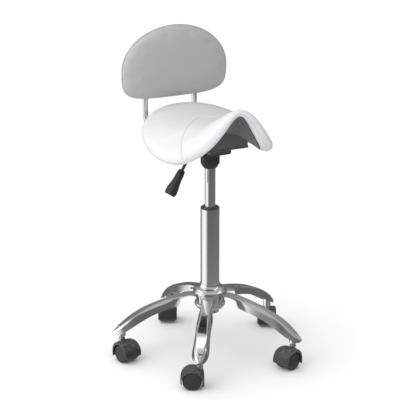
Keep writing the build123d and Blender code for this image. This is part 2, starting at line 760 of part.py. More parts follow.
# packing block between the flat plate and the curved lining
BLOCK_BOTTOM_Z = PLATE_BOTTOM_Z + PLATE_THICKNESS
with BuildPart() as mounting_block:
    with BuildSketch(Plane.XY.offset(BLOCK_BOTTOM_Z)):
        RectangleRounded(2 * PLATE_HALF - 4, 2 * PLATE_HALF - 4, 8)
        with GridLocations(BOLT_PITCH, BOLT_PITCH, 2, 2):
            Circle(BOLT_R + 0.2, mode=Mode.SUBTRACT)
    extrude(amount=80)
    split(bisect_by=seat_layer(1, -LAYER_GAP), keep=Keep.BOTTOM)
finish(mounting_block.part, "mounting_block")

with BuildPart() as plate_bolts:
    for x, y in bolt_points:
        with BuildSketch(Plane.XY.offset(PLATE_BOTTOM_Z - HEAD_HEIGHT)):
            with Locations((x, y)):
                RegularPolygon(5.8, 6)
        extrude(amount=HEAD_HEIGHT)
        with BuildSketch(Plane.XY.offset(PLATE_BOTTOM_Z)):
            with Locations((x, y)):
                Circle(BOLT_R)
        extrude(amount=shell_underside(x, y) + SHELL_THICKNESS - 0.5 - PLATE_BOTTOM_Z)
finish(plate_bolts.part, "plate_bolts")

with BuildPart() as tee_nuts:
    for x, y in bolt_points:
        with BuildSketch(Plane.XY.offset(shell_underside(x, y) + BARREL_CLEAR)):
            with Locations((x, y)):
                Circle(BARREL_R)
                Circle(BOLT_R, mode=Mode.SUBTRACT)
        extrude(amount=SHELL_THICKNESS - 2 * BARREL_CLEAR)
finish(tee_nuts.part, "tee_nuts")

# ---------------------------------------------------------------- backrest
# two rods rise behind the seat; under it they run forward to a cross bracket
with BuildPart() as back_rod_left:
    rod_plane = Plane.YZ.offset(BACK_ROD_X)
    with BuildLine(rod_plane) as rod_path:
        FilletPolyline(
            (BACK_ROD_FRONT_Y, BACK_ROD_LOW_Z),
            (BACK_ROD_Y, BACK_ROD_LOW_Z),
            (BACK_ROD_Y, BACK_ROD_TOP_Z),
            radius=BACK_ROD_BEND_R,
        )
    with BuildSketch(Plane(origin=rod_path.wire() @ 0, z_dir=rod_path.wire() % 0)):
        Circle(BACK_ROD_R)
    sweep(path=rod_path.wire())
finish(back_rod_left.part, "back_rod_left")
back_rod_right = mirror(back_rod_left.part, about=Plane.YZ)
finish(back_rod_right, "back_rod_right")

with BuildPart() as rod_bracket:
    with BuildSketch(Plane.XY.offset(BRACKET_BOTTOM_Z)):
        with Locations((0, sum(BRACKET_Y) / 2)):
            RectangleRounded(2 * BRACKET_HALF_X, BRACKET_Y[1] - BRACKET_Y[0], 4)
    extrude(amount=60)
    split(bisect_by=seat_layer(1, -LAYER_GAP), keep=Keep.BOTTOM)
    with BuildSketch(Plane.XZ.offset(-BRACKET_Y[0] + 1)):
        for side_x in (-BACK_ROD_X, BACK_ROD_X):
            with Locations((side_x, BACK_ROD_LOW_Z)):
                Circle(BACK_ROD_R)
    extrude(amount=-(BRACKET_Y[1] - BRACKET_Y[0] + 2), mode=Mode.SUBTRACT)
    with BuildSketch(Plane.XY.offset(BRACKET_BOTTOM_Z)):
        with Locations(*SCREW_POINTS):
            Circle(BOLT_R)
    extrude(amount=60, mode=Mode.SUBTRACT)
finish(rod_bracket.part, "rod_bracket")

with BuildPart() as bracket_screws:
    for x, y in SCREW_POINTS:
        with BuildSketch(Plane.XY.offset(BRACKET_BOTTOM_Z - 3.5)):
            with Locations((x, y)):
                Circle(5.5)
                RegularPolygon(2.6, 6, mode=Mode.SUBTRACT)
        extrude(amount=3.5)
        with BuildSketch(Plane.XY.offset(BRACKET_BOTTOM_Z)):
            with Locations((x, y)):
                Circle(BOLT_R)
        extrude(amount=shell_underside(x, y) + SHELL_THICKNESS - 2 - BRACKET_BOTTOM_Z)
finish(bracket_screws.part, "bracket_screws")


def back_outline(inset):
    """The backrest's front view: a wide oval with a flatter foot."""
    points = []
    for step in range(28):
        angle = 2 * pi * (step + 0.5) / 28
        s = sin(angle)
        c = cos(angle)
        upper = c > 0
        power = BACK_UPPER_POWER if upper else BACK_LOWER_POWER
        reach = (BACK_TOP_Z - BACK_WIDEST_Z if upper else BACK_WIDEST_Z - BACK_BOTTOM_Z) - inset
        x = (BACK_WIDTH / 2 - inset) * copysign(abs(s) ** (2 / power), s)
        z = BACK_WIDEST_Z + reach * copysign(abs(c) ** (2 / power), c)
        points.append((x, z))
    return points


BACK_REAR_Y = BACK_FRONT_Y + BACK_THICKNESS
BOARD_THICKNESS = 12
BOARD_FRONT_Y = BACK_REAR_Y - BOARD_THICKNESS
BOARD_INSET = 14
SLEEVE_WIDTH = 24
SLEEVE_REAR_Y = BACK_ROD_Y + 10
SLEEVE_BOTTOM_Z = 690
SLEEVE_ROOF = 5


def back_slab(inset, front_y, rear_y):
    """A flat slab of the backrest between two depths."""
    with BuildPart() as slab:
        with BuildSketch(Plane.XZ.offset(-front_y)):
            with BuildLine():
                Spline(*back_outline(inset), periodic=True)
            make_face()
        extrude(amount=front_y - rear_y)
    return slab


# the board lies flush in the back of the pad, and a sleeve behind it takes each rod
with BuildPart() as back_board:
    add(back_slab(BOARD_INSET, BOARD_FRONT_Y, BACK_REAR_Y).part)
    with BuildSketch(Plane.XY.offset(SLEEVE_BOTTOM_Z)):
        for side_x in (-BACK_ROD_X, BACK_ROD_X):
            with Locations((side_x, (BACK_REAR_Y - 4 + SLEEVE_REAR_Y) / 2)):
                RectangleRounded(SLEEVE_WIDTH, SLEEVE_REAR_Y - BACK_REAR_Y + 4, 5)
    extrude(amount=BACK_ROD_TOP_Z + SLEEVE_ROOF - SLEEVE_BOTTOM_Z)
    with BuildSketch(Plane.XY.offset(SLEEVE_BOTTOM_Z)):
        for side_x in (-BACK_ROD_X, BACK_ROD_X):
            with Locations((side_x, BACK_ROD_Y)):
                Circle(BACK_ROD_R)
    extrude(amount=BACK_ROD_TOP_Z - SLEEVE_BOTTOM_Z, mode=Mode.SUBTRACT)
finish(back_board.part, "back_board")

board_room = back_slab(BOARD_INSET - 0.3, BOARD_FRONT_Y - 0.3, BACK_REAR_Y + 1)
with BuildPart() as back_cushion:
    add(back_slab(0, BACK_FRONT_Y, BACK_REAR_Y).part)
    rim_edges = back_cushion.edges().filter_by(lambda edge: edge.length > 500)
    fillet(rim_edges, 12)
    add(board_room.part, mode=Mode.SUBTRACT)
finish(back_cushion.part, "back_cushion")
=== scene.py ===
# %% [markdown]
# # A saddle stool with a backrest
#
# The stool stands on a chromed five-arm base with twin-wheel castors. A gas lift carries a saddle
# seat and a small backrest. The measured frame of the stool is made elsewhere. This lesson loads it,
# keeps every hard part as it is, and makes the padded pieces, the finishes and the studio around it.

import json
import math

import bpy
import numpy as np
from mathutils import Matrix, Vector
from mathutils.bvhtree import BVHTree


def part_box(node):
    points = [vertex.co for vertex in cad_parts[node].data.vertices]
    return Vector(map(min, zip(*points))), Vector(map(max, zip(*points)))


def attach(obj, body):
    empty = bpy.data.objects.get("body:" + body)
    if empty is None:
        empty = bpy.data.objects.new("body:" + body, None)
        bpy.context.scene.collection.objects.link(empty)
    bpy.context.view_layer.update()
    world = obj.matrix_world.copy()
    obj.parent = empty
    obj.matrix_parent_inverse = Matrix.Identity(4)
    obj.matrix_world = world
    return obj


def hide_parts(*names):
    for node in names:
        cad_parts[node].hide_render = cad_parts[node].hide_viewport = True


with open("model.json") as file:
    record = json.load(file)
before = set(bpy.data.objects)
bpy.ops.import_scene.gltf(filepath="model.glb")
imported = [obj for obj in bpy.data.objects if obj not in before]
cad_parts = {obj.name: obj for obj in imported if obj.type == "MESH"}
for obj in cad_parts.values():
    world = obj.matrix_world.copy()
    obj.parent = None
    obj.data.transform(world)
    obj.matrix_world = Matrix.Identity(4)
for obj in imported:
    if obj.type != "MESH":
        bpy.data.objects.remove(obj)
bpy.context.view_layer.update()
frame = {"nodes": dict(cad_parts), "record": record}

# %% [markdown]
# ## Two small mesh helpers
#
# Every padded piece here is a closed skin of rings: each ring is a row of points, and the next ring
# is joined to it by four-sided faces. Four-sided faces in even rows subdivide cleanly and take a
# cloth simulation well, which a mesh cut from solids doesn't.

# %% Helpers for ring meshes
def new_object(name, vertices, faces, smooth=True):
    """Make a mesh object from plain lists and link it to the scene."""
    mesh = bpy.data.meshes.new(name)
    mesh.from_pydata([tuple(v) for v in vertices], [], faces)
    mesh.validate()
    mesh.update()
    mesh.shade_smooth() if smooth else mesh.shade_flat()
    piece = bpy.data.objects.new(name, mesh)
    bpy.context.collection.objects.link(piece)
    return piece


def ring_faces(rows, columns, close_rows=False):
    """Faces that join each ring of points to the next one."""
    faces = []
    steps = rows if close_rows else rows - 1
    for i in range(steps):
        upper = i * columns
        lower = ((i + 1) % rows) * columns
        for j in range(columns):
            k = (j + 1) % columns
            faces.append((upper + j, lower + j, lower + k, upper + k))
    return faces


def capped_rings(name, rings):
    """A closed skin from rings of points, with a point at each end to close it."""
    rows, columns = len(rings), len(rings[0])
    points = np.concatenate([np.asarray(ring) for ring in rings])
    first = points[:columns].mean(axis=0)
    last = points[-columns:].mean(axis=0)
    faces = ring_faces(rows, columns)
    top, bottom = rows * columns, rows * columns + 1
    for j in range(columns):
        k = (j + 1) % columns
        faces.append((top, j, k))
        faces.append((bottom, (rows - 1) * columns + k, (rows - 1) * columns + j))
    return new_object(name, np.vstack([points, first, last]), faces)


def closed_tube(name, path, radius, sides=10):
    """A round tube along a closed loop of points, such as piping along a seam."""
    path = np.asarray(path)
    ahead = np.roll(path, -1, axis=0) - np.roll(path, 1, axis=0)
    ahead /= np.linalg.norm(ahead, axis=1)[:, None]
    side = np.cross(ahead, (0.0, 0.0, 1.0))
    side /= np.linalg.norm(side, axis=1)[:, None]
    lift = np.cross(side, ahead)
    rings = []
    for step in range(sides):
        turn = 2 * math.pi * step / sides
        rings.append(path + radius * (math.cos(turn) * side + math.sin(turn) * lift))
    return new_object(name, np.concatenate(rings), ring_faces(sides, len(path), close_rows=True))


print("helpers ready")

# %% [markdown]
# ## The saddle as a formula
#
# A saddle seat has a raised pommel in front that parts the legs, a low broad middle and wings that
# droop along the thighs. Pushing points about by hand gives dents, so the height is a sum of a few
# smooth terms: a bell for the pommel, a gentle rise to the rear, and a droop that grows with the
# distance from the middle. The same terms shaped the solid seat in the frame.

# %% Saddle surface
HALF_WIDTH, HALF_LENGTH, CENTRE_Y = 0.179, 0.1705, 0.0067
EDGE_POWER = 2.1
BASE_Z = 0.6367
POMMEL_RISE, POMMEL_Y, POMMEL_LENGTH, POMMEL_WIDTH = 0.0635, -0.1508, 0.080, 0.082
REAR_RISE, REAR_RIM_Y = 0.0207, 0.165
REAR_DROOP, FRONT_DROOP, DROOP_POWER = 0.023, 0.085, 2.23
TURN_Y, TURN_LENGTH = -0.0306, 0.074
PAD_THICKNESS, POMMEL_THINNING, THIN_WIDTH, WING_THICKENING = 0.038, 0.020, 0.061, 0.008
RIM_REACH = 0.022


def saddle_height(x, y):
    """Height of the seat's upper surface."""
    bell = np.exp(-(((y - POMMEL_Y) / POMMEL_LENGTH) ** 2)) * np.exp(-((x / POMMEL_WIDTH) ** 2))
    rear = REAR_RISE * (np.maximum(y, 0) / REAR_RIM_Y) ** 2
    turn = 0.5 - 0.5 * np.tanh((y - TURN_Y) / TURN_LENGTH)
    droop = (REAR_DROOP + (FRONT_DROOP - REAR_DROOP) * turn) * (np.abs(x) / 0.170) ** DROOP_POWER
    return BASE_Z + POMMEL_RISE * bell + rear - droop


def pad_thickness(x, y):
    """Thickness of the pad: thin at the pommel's nose, fuller in the wings."""
    bell = np.exp(-(((y - POMMEL_Y) / POMMEL_LENGTH) ** 2)) * np.exp(-((x / THIN_WIDTH) ** 2))
    return PAD_THICKNESS - POMMEL_THINNING * bell + WING_THICKENING * (np.abs(x) / HALF_WIDTH) ** 3


def saddle_normal(x, y):
    """Unit normals of the upper surface."""
    step = 0.0005
    slope_x = (saddle_height(x + step, y) - saddle_height(x - step, y)) / (2 * step)
    slope_y = (saddle_height(x, y + step) - saddle_height(x, y - step)) / (2 * step)
    normal = np.stack([-slope_x, -slope_y, np.ones_like(slope_x)], axis=-1)
    return normal / np.linalg.norm(normal, axis=-1)[..., None]


def seat_plan(turn, inset):
    """The seat's outline in plan, a soft-cornered oval, counted from the front."""
    s, c = np.sin(turn), np.cos(turn)
    x = (HALF_WIDTH - inset) * np.sign(s) * np.abs(s) ** (2 / EDGE_POWER)
    y = CENTRE_Y - (HALF_LENGTH - inset) * np.sign(c) * np.abs(c) ** (2 / EDGE_POWER)
    return x, y


print("saddle height at the middle", round(float(saddle_height(0.0, 0.0)), 4))

# %% [markdown]
# ## Skin of the seat cushion
#
# The cover is one closed skin. Its rings spread from the middle of the top to the rim, roll over the
# rim as a bullnose, tuck under the shell and close inside. The rim rolls square to the surface, so
# it tilts with the drooping wings as real wrapped foam does. A cube pushed into shape would need
# many loops to do the same, and its rim would crease at the corners.

# %% Seat cushion rings
COLUMNS = 150
TOP_RINGS, RIM_RINGS, INNER_RINGS = 30, 16, 9
UNDER_LIFT = 0.0014
SHELL_CLEAR_LIFT = 0.0099
SHELL_CLEAR_INSET = 0.0265


class SeatEdge:
    """The line where the top of the seat starts to roll over, with its outward directions."""

    def __init__(self, turn):
        self.x, self.y = seat_plan(turn, RIM_REACH)
        full_x, full_y = seat_plan(turn, 0.0)
        self.normal = saddle_normal(self.x, self.y)
        out = np.stack([full_x - self.x, full_y - self.y, np.zeros(len(turn))], axis=-1)
        out -= self.normal * np.sum(out * self.normal, axis=-1)[:, None]
        self.out = out / np.linalg.norm(out, axis=-1)[:, None]
        self.thickness = pad_thickness(self.x, self.y)[:, None] - UNDER_LIFT
        self.reach = RIM_REACH * np.minimum(self.thickness / PAD_THICKNESS, 1.0)
        self.point = np.stack([self.x, self.y, saddle_height(self.x, self.y)], axis=-1)

    def rim(self, roll):
        """Points of the rim at an angle of roll, 0 at the top and pi underneath."""
        side = self.out * self.reach * math.sin(roll)
        return self.point + side - self.normal * self.thickness / 2 * (1 - math.cos(roll))

    def under(self, inset, lift):
        """Points under the pad, inside the rim by inset and above the underside by lift."""
        step = self.out * (RIM_REACH - inset)
        return self.point + step - self.normal * (self.thickness + UNDER_LIFT - lift)


def seat_rings():
    """Rings of the cushion skin, from the middle of the top round the rim to the inside."""
    turn = (np.arange(COLUMNS) + 0.5) * 2 * math.pi / COLUMNS
    edge = SeatEdge(turn)
    rings = []
    for share in np.linspace(1 / TOP_RINGS, 1.0, TOP_RINGS):
        x = edge.x * share
        y = CENTRE_Y + (edge.y - CENTRE_Y) * share
        rings.append(np.stack([x, y, saddle_height(x, y)], axis=-1))
    for step in range(1, RIM_RINGS + 1):
        rings.append(edge.rim(math.pi * step / RIM_RINGS))
    rings.append(edge.under(SHELL_CLEAR_INSET, UNDER_LIFT))
    inner = edge.under(SHELL_CLEAR_INSET, SHELL_CLEAR_LIFT)
    rings.append((rings[-1] + inner) / 2)
    rings.append(inner)
    for share in np.linspace(1.0, 0.08, INNER_RINGS)[1:]:
        x = edge.x * share
        y = CENTRE_Y + (edge.y - CENTRE_Y) * share
        flat = np.stack([x, y, saddle_height(x, y)], axis=-1)
        depth = (pad_thickness(x, y) - SHELL_CLEAR_LIFT)[:, None]
        rings.append(flat - saddle_normal(x, y) * depth)
    return rings


cushion = capped_rings("seat_cushion_skin", seat_rings())
print("seat skin:", len(cushion.data.vertices), "points")

# %% [markdown]
# ## Skin of the backrest cushion
#
# The backrest is a wide oval pad with a flatter foot. Its front is crowned, its edge is a full round
# roll, and its back is nearly flat against the board inside. Two outlines of different power, one
# for the upper half and one for the lower, meet at the widest line.

# %% Backrest rings
back_low, back_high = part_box("back_cushion")
BACK_TOP, BACK_FOOT = back_high[2], back_low[2]
BACK_FRONT, BACK_REAR = back_low[1], back_high[1] - 0.0012
BACK_HALF = back_high[0]
WIDEST_Z = BACK_FOOT + 0.079
UPPER_POWER, LOWER_POWER = 2.0, 4.2
BACK_CENTRE_Z = WIDEST_Z + 0.012
BACK_ROLL = 0.021
BACK_CROWN = 0.0045
BACK_SEAM_ROLL = 0.56 * math.pi


def back_plan(turn, inset):
    """The backrest's front view, counted from the top."""
    s, c = np.sin(turn), np.cos(turn)
    power = np.where(c > 0, UPPER_POWER, LOWER_POWER)
    reach = np.where(c > 0, BACK_TOP - WIDEST_Z, WIDEST_Z - BACK_FOOT) - inset
    x = (BACK_HALF - inset) * np.sign(s) * np.abs(s) ** (2 / power)
    z = WIDEST_Z + reach * np.sign(c) * np.abs(c) ** (2 / power)
    return x, z


def back_ring(turn, roll):
    """Points of the backrest's rim at an angle of roll, 0 in front and pi behind."""
    inner_x, inner_z = back_plan(turn, BACK_ROLL)
    outer_x, outer_z = back_plan(turn, 0.0)
    front = BACK_FRONT + BACK_CROWN
    middle, half = (front + BACK_REAR) / 2, (BACK_REAR - front) / 2
    mix = math.sin(roll)
    x = inner_x + (outer_x - inner_x) * mix
    z = inner_z + (outer_z - inner_z) * mix
    return np.stack([x, np.full_like(x, middle - half * math.cos(roll)), z], axis=-1)


def back_rings():
    """Rings of the backrest skin, from the middle of the front round to the middle of the back."""
    turn = (np.arange(COLUMNS) + 0.5) * 2 * math.pi / COLUMNS
    edge_x, edge_z = back_plan(turn, BACK_ROLL)
    rings = []
    for share in np.linspace(1 / 22, 1.0, 22)[:-1]:
        crown = BACK_CROWN * (1 - share**2.4)
        x, z = edge_x * share, BACK_CENTRE_Z + (edge_z - BACK_CENTRE_Z) * share
        rings.append(np.stack([x, np.full_like(x, BACK_FRONT + BACK_CROWN - crown), z], axis=-1))
    for step in range(RIM_RINGS + 1):
        rings.append(back_ring(turn, math.pi * step / RIM_RINGS))
    for share in np.linspace(1.0, 0.05, 12)[1:]:
        x, z = edge_x * share, BACK_CENTRE_Z + (edge_z - BACK_CENTRE_Z) * share
        rings.append(np.stack([x, np.full_like(x, BACK_REAR), z], axis=-1))
    return rings


back = capped_rings("back_cushion_skin", back_rings())
print("backrest:", round(2 * BACK_HALF, 4), "wide,", round(BACK_TOP - BACK_FOOT, 4), "high")

# %% [markdown]
# ## Swell the pads as cloth over foam
#
# A cover is cut from flat sheets and pulled over foam, so it stands out softly between its seams.
# Blender's cloth does this: the skin is remeshed to even faces, blown up from inside by a little
# pressure without gravity, and stopped before it moves too far. The points along the seams and on
# the shell are pinned. Sculpting could give the same look, but it wouldn't be repeatable.

# %% Cloth over foam
VOXEL = 0.0045
CLOTH_FRAMES = 20
SMOOTH_TURNS = 6


def evaluated_mesh(piece):
    """The piece's mesh with its modifiers applied."""
    graph = bpy.context.evaluated_depsgraph_get()
    return bpy.data.meshes.new_from_object(piece.evaluated_get(graph))


def take_mesh(piece, mesh):
    """Give a piece a new mesh and drop its modifiers."""
    piece.modifiers.clear()
    piece.data = mesh
    mesh.shade_smooth()


def read_points(mesh):
    """The mesh's points as rows of x, y, z."""
    points = np.empty(len(mesh.vertices) * 3)
    mesh.vertices.foreach_get("co", points)
    return points.reshape(-1, 3)


def write_points(mesh, points):
    """Put rows of x, y, z back into the mesh."""
    mesh.vertices.foreach_set("co", points.astype(np.float32).ravel())
    mesh.update()


def relax(mesh, turns, free):
    """Even out small steps: each free point moves half way to the middle of its neighbours."""
    points = read_points(mesh)
    edges = np.empty(len(mesh.edges) * 2, dtype=np.int64)
    mesh.edges.foreach_get("vertices", edges)
    edges = edges.reshape(-1, 2)
    count = np.bincount(edges.ravel(), minlength=len(points))[:, None]
    for turn in range(turns):
        total = np.zeros_like(points)
        np.add.at(total, edges[:, 0], points[edges[:, 1]])
        np.add.at(total, edges[:, 1], points[edges[:, 0]])
        # a move in and a smaller move out again keeps the pad from shrinking
        weight = 0.5 if turn % 2 == 0 else -0.51
        points += weight * free[:, None] * (total / count - points)
    write_points(mesh, points)


def swell(piece, pressure, most, held):
    """Remesh a skin, blow it up as cloth and cap how far each point may move."""
    remesh = piece.modifiers.new("even faces", "REMESH")
    remesh.mode = "VOXEL"
    remesh.voxel_size = VOXEL
    take_mesh(piece, evaluated_mesh(piece))
    start = read_points(piece.data)
    pins = held(start)
    relax(piece.data, SMOOTH_TURNS, np.ones(len(start)))
    start = read_points(piece.data)
    group = piece.vertex_groups.new(name="held")
    for index in np.nonzero(pins > 0)[0]:
        group.add([int(index)], float(pins[index]), "REPLACE")
    cloth = piece.modifiers.new("cover", "CLOTH")
    cloth.settings.quality = 5
    cloth.settings.mass = 0.3
    cloth.settings.tension_stiffness = 15
    cloth.settings.compression_stiffness = 15
    cloth.settings.bending_stiffness = 2
    cloth.settings.use_pressure = True
    cloth.settings.uniform_pressure_force = pressure
    cloth.settings.effector_weights.gravity = 0
    cloth.settings.vertex_group_mass = "held"
    cloth.collision_settings.use_collision = False
    scene = bpy.context.scene
    for frame_number in range(1, CLOTH_FRAMES + 1):
        scene.frame_set(frame_number)
    swollen = read_points(evaluated_mesh(piece))
    scene.frame_set(1)
    piece.modifiers.clear()
    move = swollen - start
    length = np.linalg.norm(move, axis=1)[:, None]
    capped = most * np.tanh(length / most)
    write_points(piece.data, start + move * capped / np.maximum(length, 1e-9))
    print(piece.name, "moved by up to", round(float(length.max()) * 1000, 1), "mm before the cap")
    relax(piece.data, SMOOTH_TURNS, 1 - pins)
    smooth = piece.modifiers.new("finer", "SUBSURF")
    smooth.levels = smooth.render_levels = 1
    take_mesh(piece, evaluated_mesh(piece))
    piece.vertex_groups.clear()


def nearness(points, path, reach):
    """1 on a line of points, falling to 0 at the given distance from it."""
    slivers = [(i, (i + 1) % len(path), i) for i in range(len(path))]
    tree = BVHTree.FromPolygons([Vector(p) for p in path], slivers)
    found = np.array([tree.find_nearest(Vector(p))[3] or 0.0 for p in points])
    return np.clip(1 - found / reach, 0, 1)


print("cloth helpers ready")

# %% [markdown]
# ## Where the covers are sewn
#
# The seat has one seam across its top, which leaves the middle as a rounded peak and runs down both
# sides of the pommel to the front of the wings, and a piped seam along the lower edge of its rim.
# The backrest has a piped seam along the front of its roll.

# %% Seam lines
SEAM_APEX_Y, SEAM_SLOPE, SEAM_TURN_X, SEAM_ROUND = 0.058, 0.92, 0.145, 0.012
SEAM_POWER = 10
PIPING_ROLL = 0.735 * math.pi
PIPING_RADIUS = 0.0015


def seam_offset(x, y):
    """Signed distance in plan from the seam across the seat, positive behind it."""
    reach = np.sqrt(x**2 + SEAM_ROUND**2)
    curl = (reach / SEAM_TURN_X) ** SEAM_POWER
    line = SEAM_APEX_Y - SEAM_SLOPE * reach - SEAM_APEX_Y * curl
    slope = SEAM_SLOPE + SEAM_POWER * SEAM_APEX_Y * curl / SEAM_TURN_X
    return (y - line) / np.sqrt(1 + slope**2)


LOOP = (np.arange(260) + 0.5) * 2 * math.pi / 260
seat_piping_path = SeatEdge(LOOP).rim(PIPING_ROLL)
back_piping_path = back_ring(LOOP, BACK_SEAM_ROLL)
print("piping round the seat:", round(float(np.linalg.norm(
    np.roll(seat_piping_path, -1, axis=0) - seat_piping_path, axis=1).sum()), 3), "m")

# %% Swell both pads
PIN_REACH = 0.007
SEAT_SWELL, BACK_SWELL = 0.0035, 0.0030


def seat_held(points):
    """The seat is held along its piping, under the rim and inside round the shell."""
    height = saddle_height(points[:, 0], points[:, 1])
    normal = saddle_normal(points[:, 0], points[:, 1])
    depth = (height - points[:, 2]) * normal[:, 2]
    thick = pad_thickness(points[:, 0], points[:, 1])
    under = np.clip((depth - 0.70 * thick) / (0.12 * thick), 0, 1)
    return np.maximum(under, nearness(points, seat_piping_path, PIN_REACH))


def back_held(points):
    """The backrest is held along its piping and flat behind."""
    behind = np.clip((points[:, 1] - BACK_REAR + 0.008) / 0.006, 0, 1)
    return np.maximum(behind, nearness(points, back_piping_path, PIN_REACH))


swell(cushion, 4.0, SEAT_SWELL, seat_held)
swell(back, 4.0, BACK_SWELL, back_held)
print("seat faces:", len(cushion.data.polygons), " backrest faces:", len(back.data.polygons))

# %% [markdown]
# ## Sewn groove and piping
#
# A sewn seam is a narrow valley with the cover puffed up softly on each side. The valley is wider
# than one face here, so it can be real shape: each point near the seam moves along its normal. The
# piping is a cord wrapped in a strip of the cover and caught in the seam, so it is a thin round tube
# laid on the finished skin.

# %% Groove and piping
GROOVE_DEPTH, GROOVE_HALF = 0.0011, 0.0017
PUFF_HEIGHT, PUFF_AT, PUFF_HALF = 0.0008, 0.0085, 0.0060
VALLEY_DEPTH, VALLEY_HALF = 0.0009, 0.0032


def point_normals(mesh):
    """The mesh's point normals as rows."""
    normals = np.empty(len(mesh.vertices) * 3)
    mesh.vertex_normals.foreach_get("vector", normals)
    return normals.reshape(-1, 3)


def sew(piece, offset, strength):
    """Press a groove along a seam and puff the cover beside it."""
    points = read_points(piece.data)
    normals = point_normals(piece.data)
    groove = GROOVE_DEPTH * np.exp(-((offset / GROOVE_HALF) ** 2))
    puff = PUFF_HEIGHT * np.exp(-(((np.abs(offset) - PUFF_AT) / PUFF_HALF) ** 2))
    write_points(piece.data, points + normals * ((puff - groove) * strength)[:, None])


def lay_piping(name, piece, path, radius):
    """A tube along a loop, moved onto the piece's skin and half sunk into a shallow valley."""
    tree = BVHTree.FromObject(piece, bpy.context.evaluated_depsgraph_get())
    on_skin = np.array([tuple(tree.find_nearest(Vector(p))[0]) for p in path])
    points = read_points(piece.data)
    loop = BVHTree.FromPolygons(
        [Vector(p) for p in on_skin],
        [(i, (i + 1) % len(on_skin), i) for i in range(len(on_skin))],
    )
    far = np.array([loop.find_nearest(Vector(p))[3] for p in points])
    valley = VALLEY_DEPTH * np.exp(-((far / VALLEY_HALF) ** 2))
    write_points(piece.data, points - point_normals(piece.data) * valley[:, None])
    return closed_tube(name, on_skin, radius)


seat_points = read_points(cushion.data)
FACING_START, FACING_FADE = 0.45, 0.3
upward = saddle_normal(seat_points[:, 0], seat_points[:, 1])
seat_facing = np.sum(point_normals(cushion.data) * upward, axis=1)
outer_skin = np.clip((seat_facing + FACING_START) / FACING_FADE, 0, 1)
sew(cushion, seam_offset(seat_points[:, 0], seat_points[:, 1]), outer_skin)
seat_piping = lay_piping("seat_piping", cushion, seat_piping_path, PIPING_RADIUS)
back_piping = lay_piping("back_piping", back, back_piping_path, PIPING_RADIUS * 0.8)
print("piping points:", len(seat_piping.data.vertices), len(back_piping.data.vertices))

# %% [markdown]
# ## Stitches beside the seam
#
# The cover's top seam is held by one row of short stitches on the rear side. Each is a small bead of
# thread that dips at both ends. One mesh holds them all, because hundreds of objects would be slow.

# %% Stitches
STITCH_STEP, STITCH_LENGTH, STITCH_HALF, STITCH_FROM_SEAM = 0.0042, 0.0029, 0.00032, 0.0030
STITCH_END_X = 0.149


def seam_walk(offset):
    """Points in plan along the seat seam, shifted to one side, evenly spaced."""
    x = np.linspace(-STITCH_END_X, STITCH_END_X, 4000)
    reach = np.sqrt(x**2 + SEAM_ROUND**2)
    y = SEAM_APEX_Y - SEAM_SLOPE * reach - SEAM_APEX_Y * (reach / SEAM_TURN_X) ** SEAM_POWER
    keep = y > CENTRE_Y - HALF_LENGTH + RIM_REACH
    x, y = x[keep], y[keep]
    ahead = np.stack([np.gradient(x), np.gradient(y)], axis=-1)
    ahead /= np.linalg.norm(ahead, axis=1)[:, None]
    x, y = x - ahead[:, 1] * offset, y + ahead[:, 0] * offset
    walked = np.concatenate([[0], np.cumsum(np.hypot(np.diff(x), np.diff(y)))])
    even = np.arange(STITCH_STEP, walked[-1] - STITCH_STEP, STITCH_STEP)
    return np.interp(even, walked, x), np.interp(even, walked, y)


def stitch_row(name, piece, xs, ys):
    """Small beads of thread lying on the piece's skin, seen from above."""
    tree = BVHTree.FromObject(piece, bpy.context.evaluated_depsgraph_get())
    places = []
    for x, y in zip(xs, ys):
        hit, normal, _, _ = tree.ray_cast(Vector((x, y, 1.0)), Vector((0, 0, -1)))
        if hit is not None and normal.z > 0.25:
            places.append((hit, normal))
    vertices, faces = [], []
    profile = [(-0.5, 0.35), (-0.3, 0.9), (0.0, 1.0), (0.3, 0.9), (0.5, 0.35)]
    sides = 6
    for (hit, normal), (after, _) in zip(places, places[1:]):
        ahead = (after - hit).normalized()
        side = ahead.cross(normal).normalized()
        first = len(vertices)
        for along, girth in profile:
            dip = -STITCH_HALF * 2.2 * abs(2 * along) ** 3
            centre = hit + ahead * along * STITCH_LENGTH + normal * (STITCH_HALF * 0.6 + dip)
            for k in range(sides):
                turn = 2 * math.pi * k / sides
                spoke = side * math.cos(turn) + normal * math.sin(turn)
                vertices.append(centre + spoke * STITCH_HALF * girth)
        rows = len(profile)
        for i in range(rows - 1):
            for k in range(sides):
                a, b = first + i * sides + k, first + i * sides + (k + 1) % sides
                faces.append((a, b, b + sides, a + sides))
        faces.append(tuple(first + k for k in reversed(range(sides))))
        faces.append(tuple(first + (rows - 1) * sides + k for k in range(sides)))
    return new_object(name, vertices, faces)


stitches = stitch_row("seat_stitches", cushion, *seam_walk(STITCH_FROM_SEAM))
print("stitches:", len(stitches.data.polygons) // 26)

# %% [markdown]
# ## Turned and bent metal
#
# The column, its collar and the backrest's rods are chrome, and chrome shows every flat facet. So
# these pieces are made again with many fine faces, at exactly the measured sizes: a profile turned
# about the column's axis, and a round section swept along each rod's bent line.

# %% Turned pieces
TURN_SIDES = 128


def turned(name, profile, sides=TURN_SIDES):
    """Turn a closed profile of (radius, height) points about the column's axis."""
    vertices = []
    for step in range(sides):
        angle = 2 * math.pi * step / sides
        vertices += [(r * math.cos(angle), r * math.sin(angle), z) for r, z in profile]
    piece = new_object(name, vertices, ring_faces(sides, len(profile), close_rows=True))
    piece.data.set_sharp_from_angle(angle=math.radians(32))
    return piece


def arc(centre, radius, start, end, steps=8):
    """Points of an arc in the profile's plane, angles in degrees."""
    turns = [math.radians(start + (end - start) * k / steps) for k in range(steps + 1)]
    return [(centre[0] + radius * math.cos(t), centre[1] + radius * math.sin(t)) for t in turns]


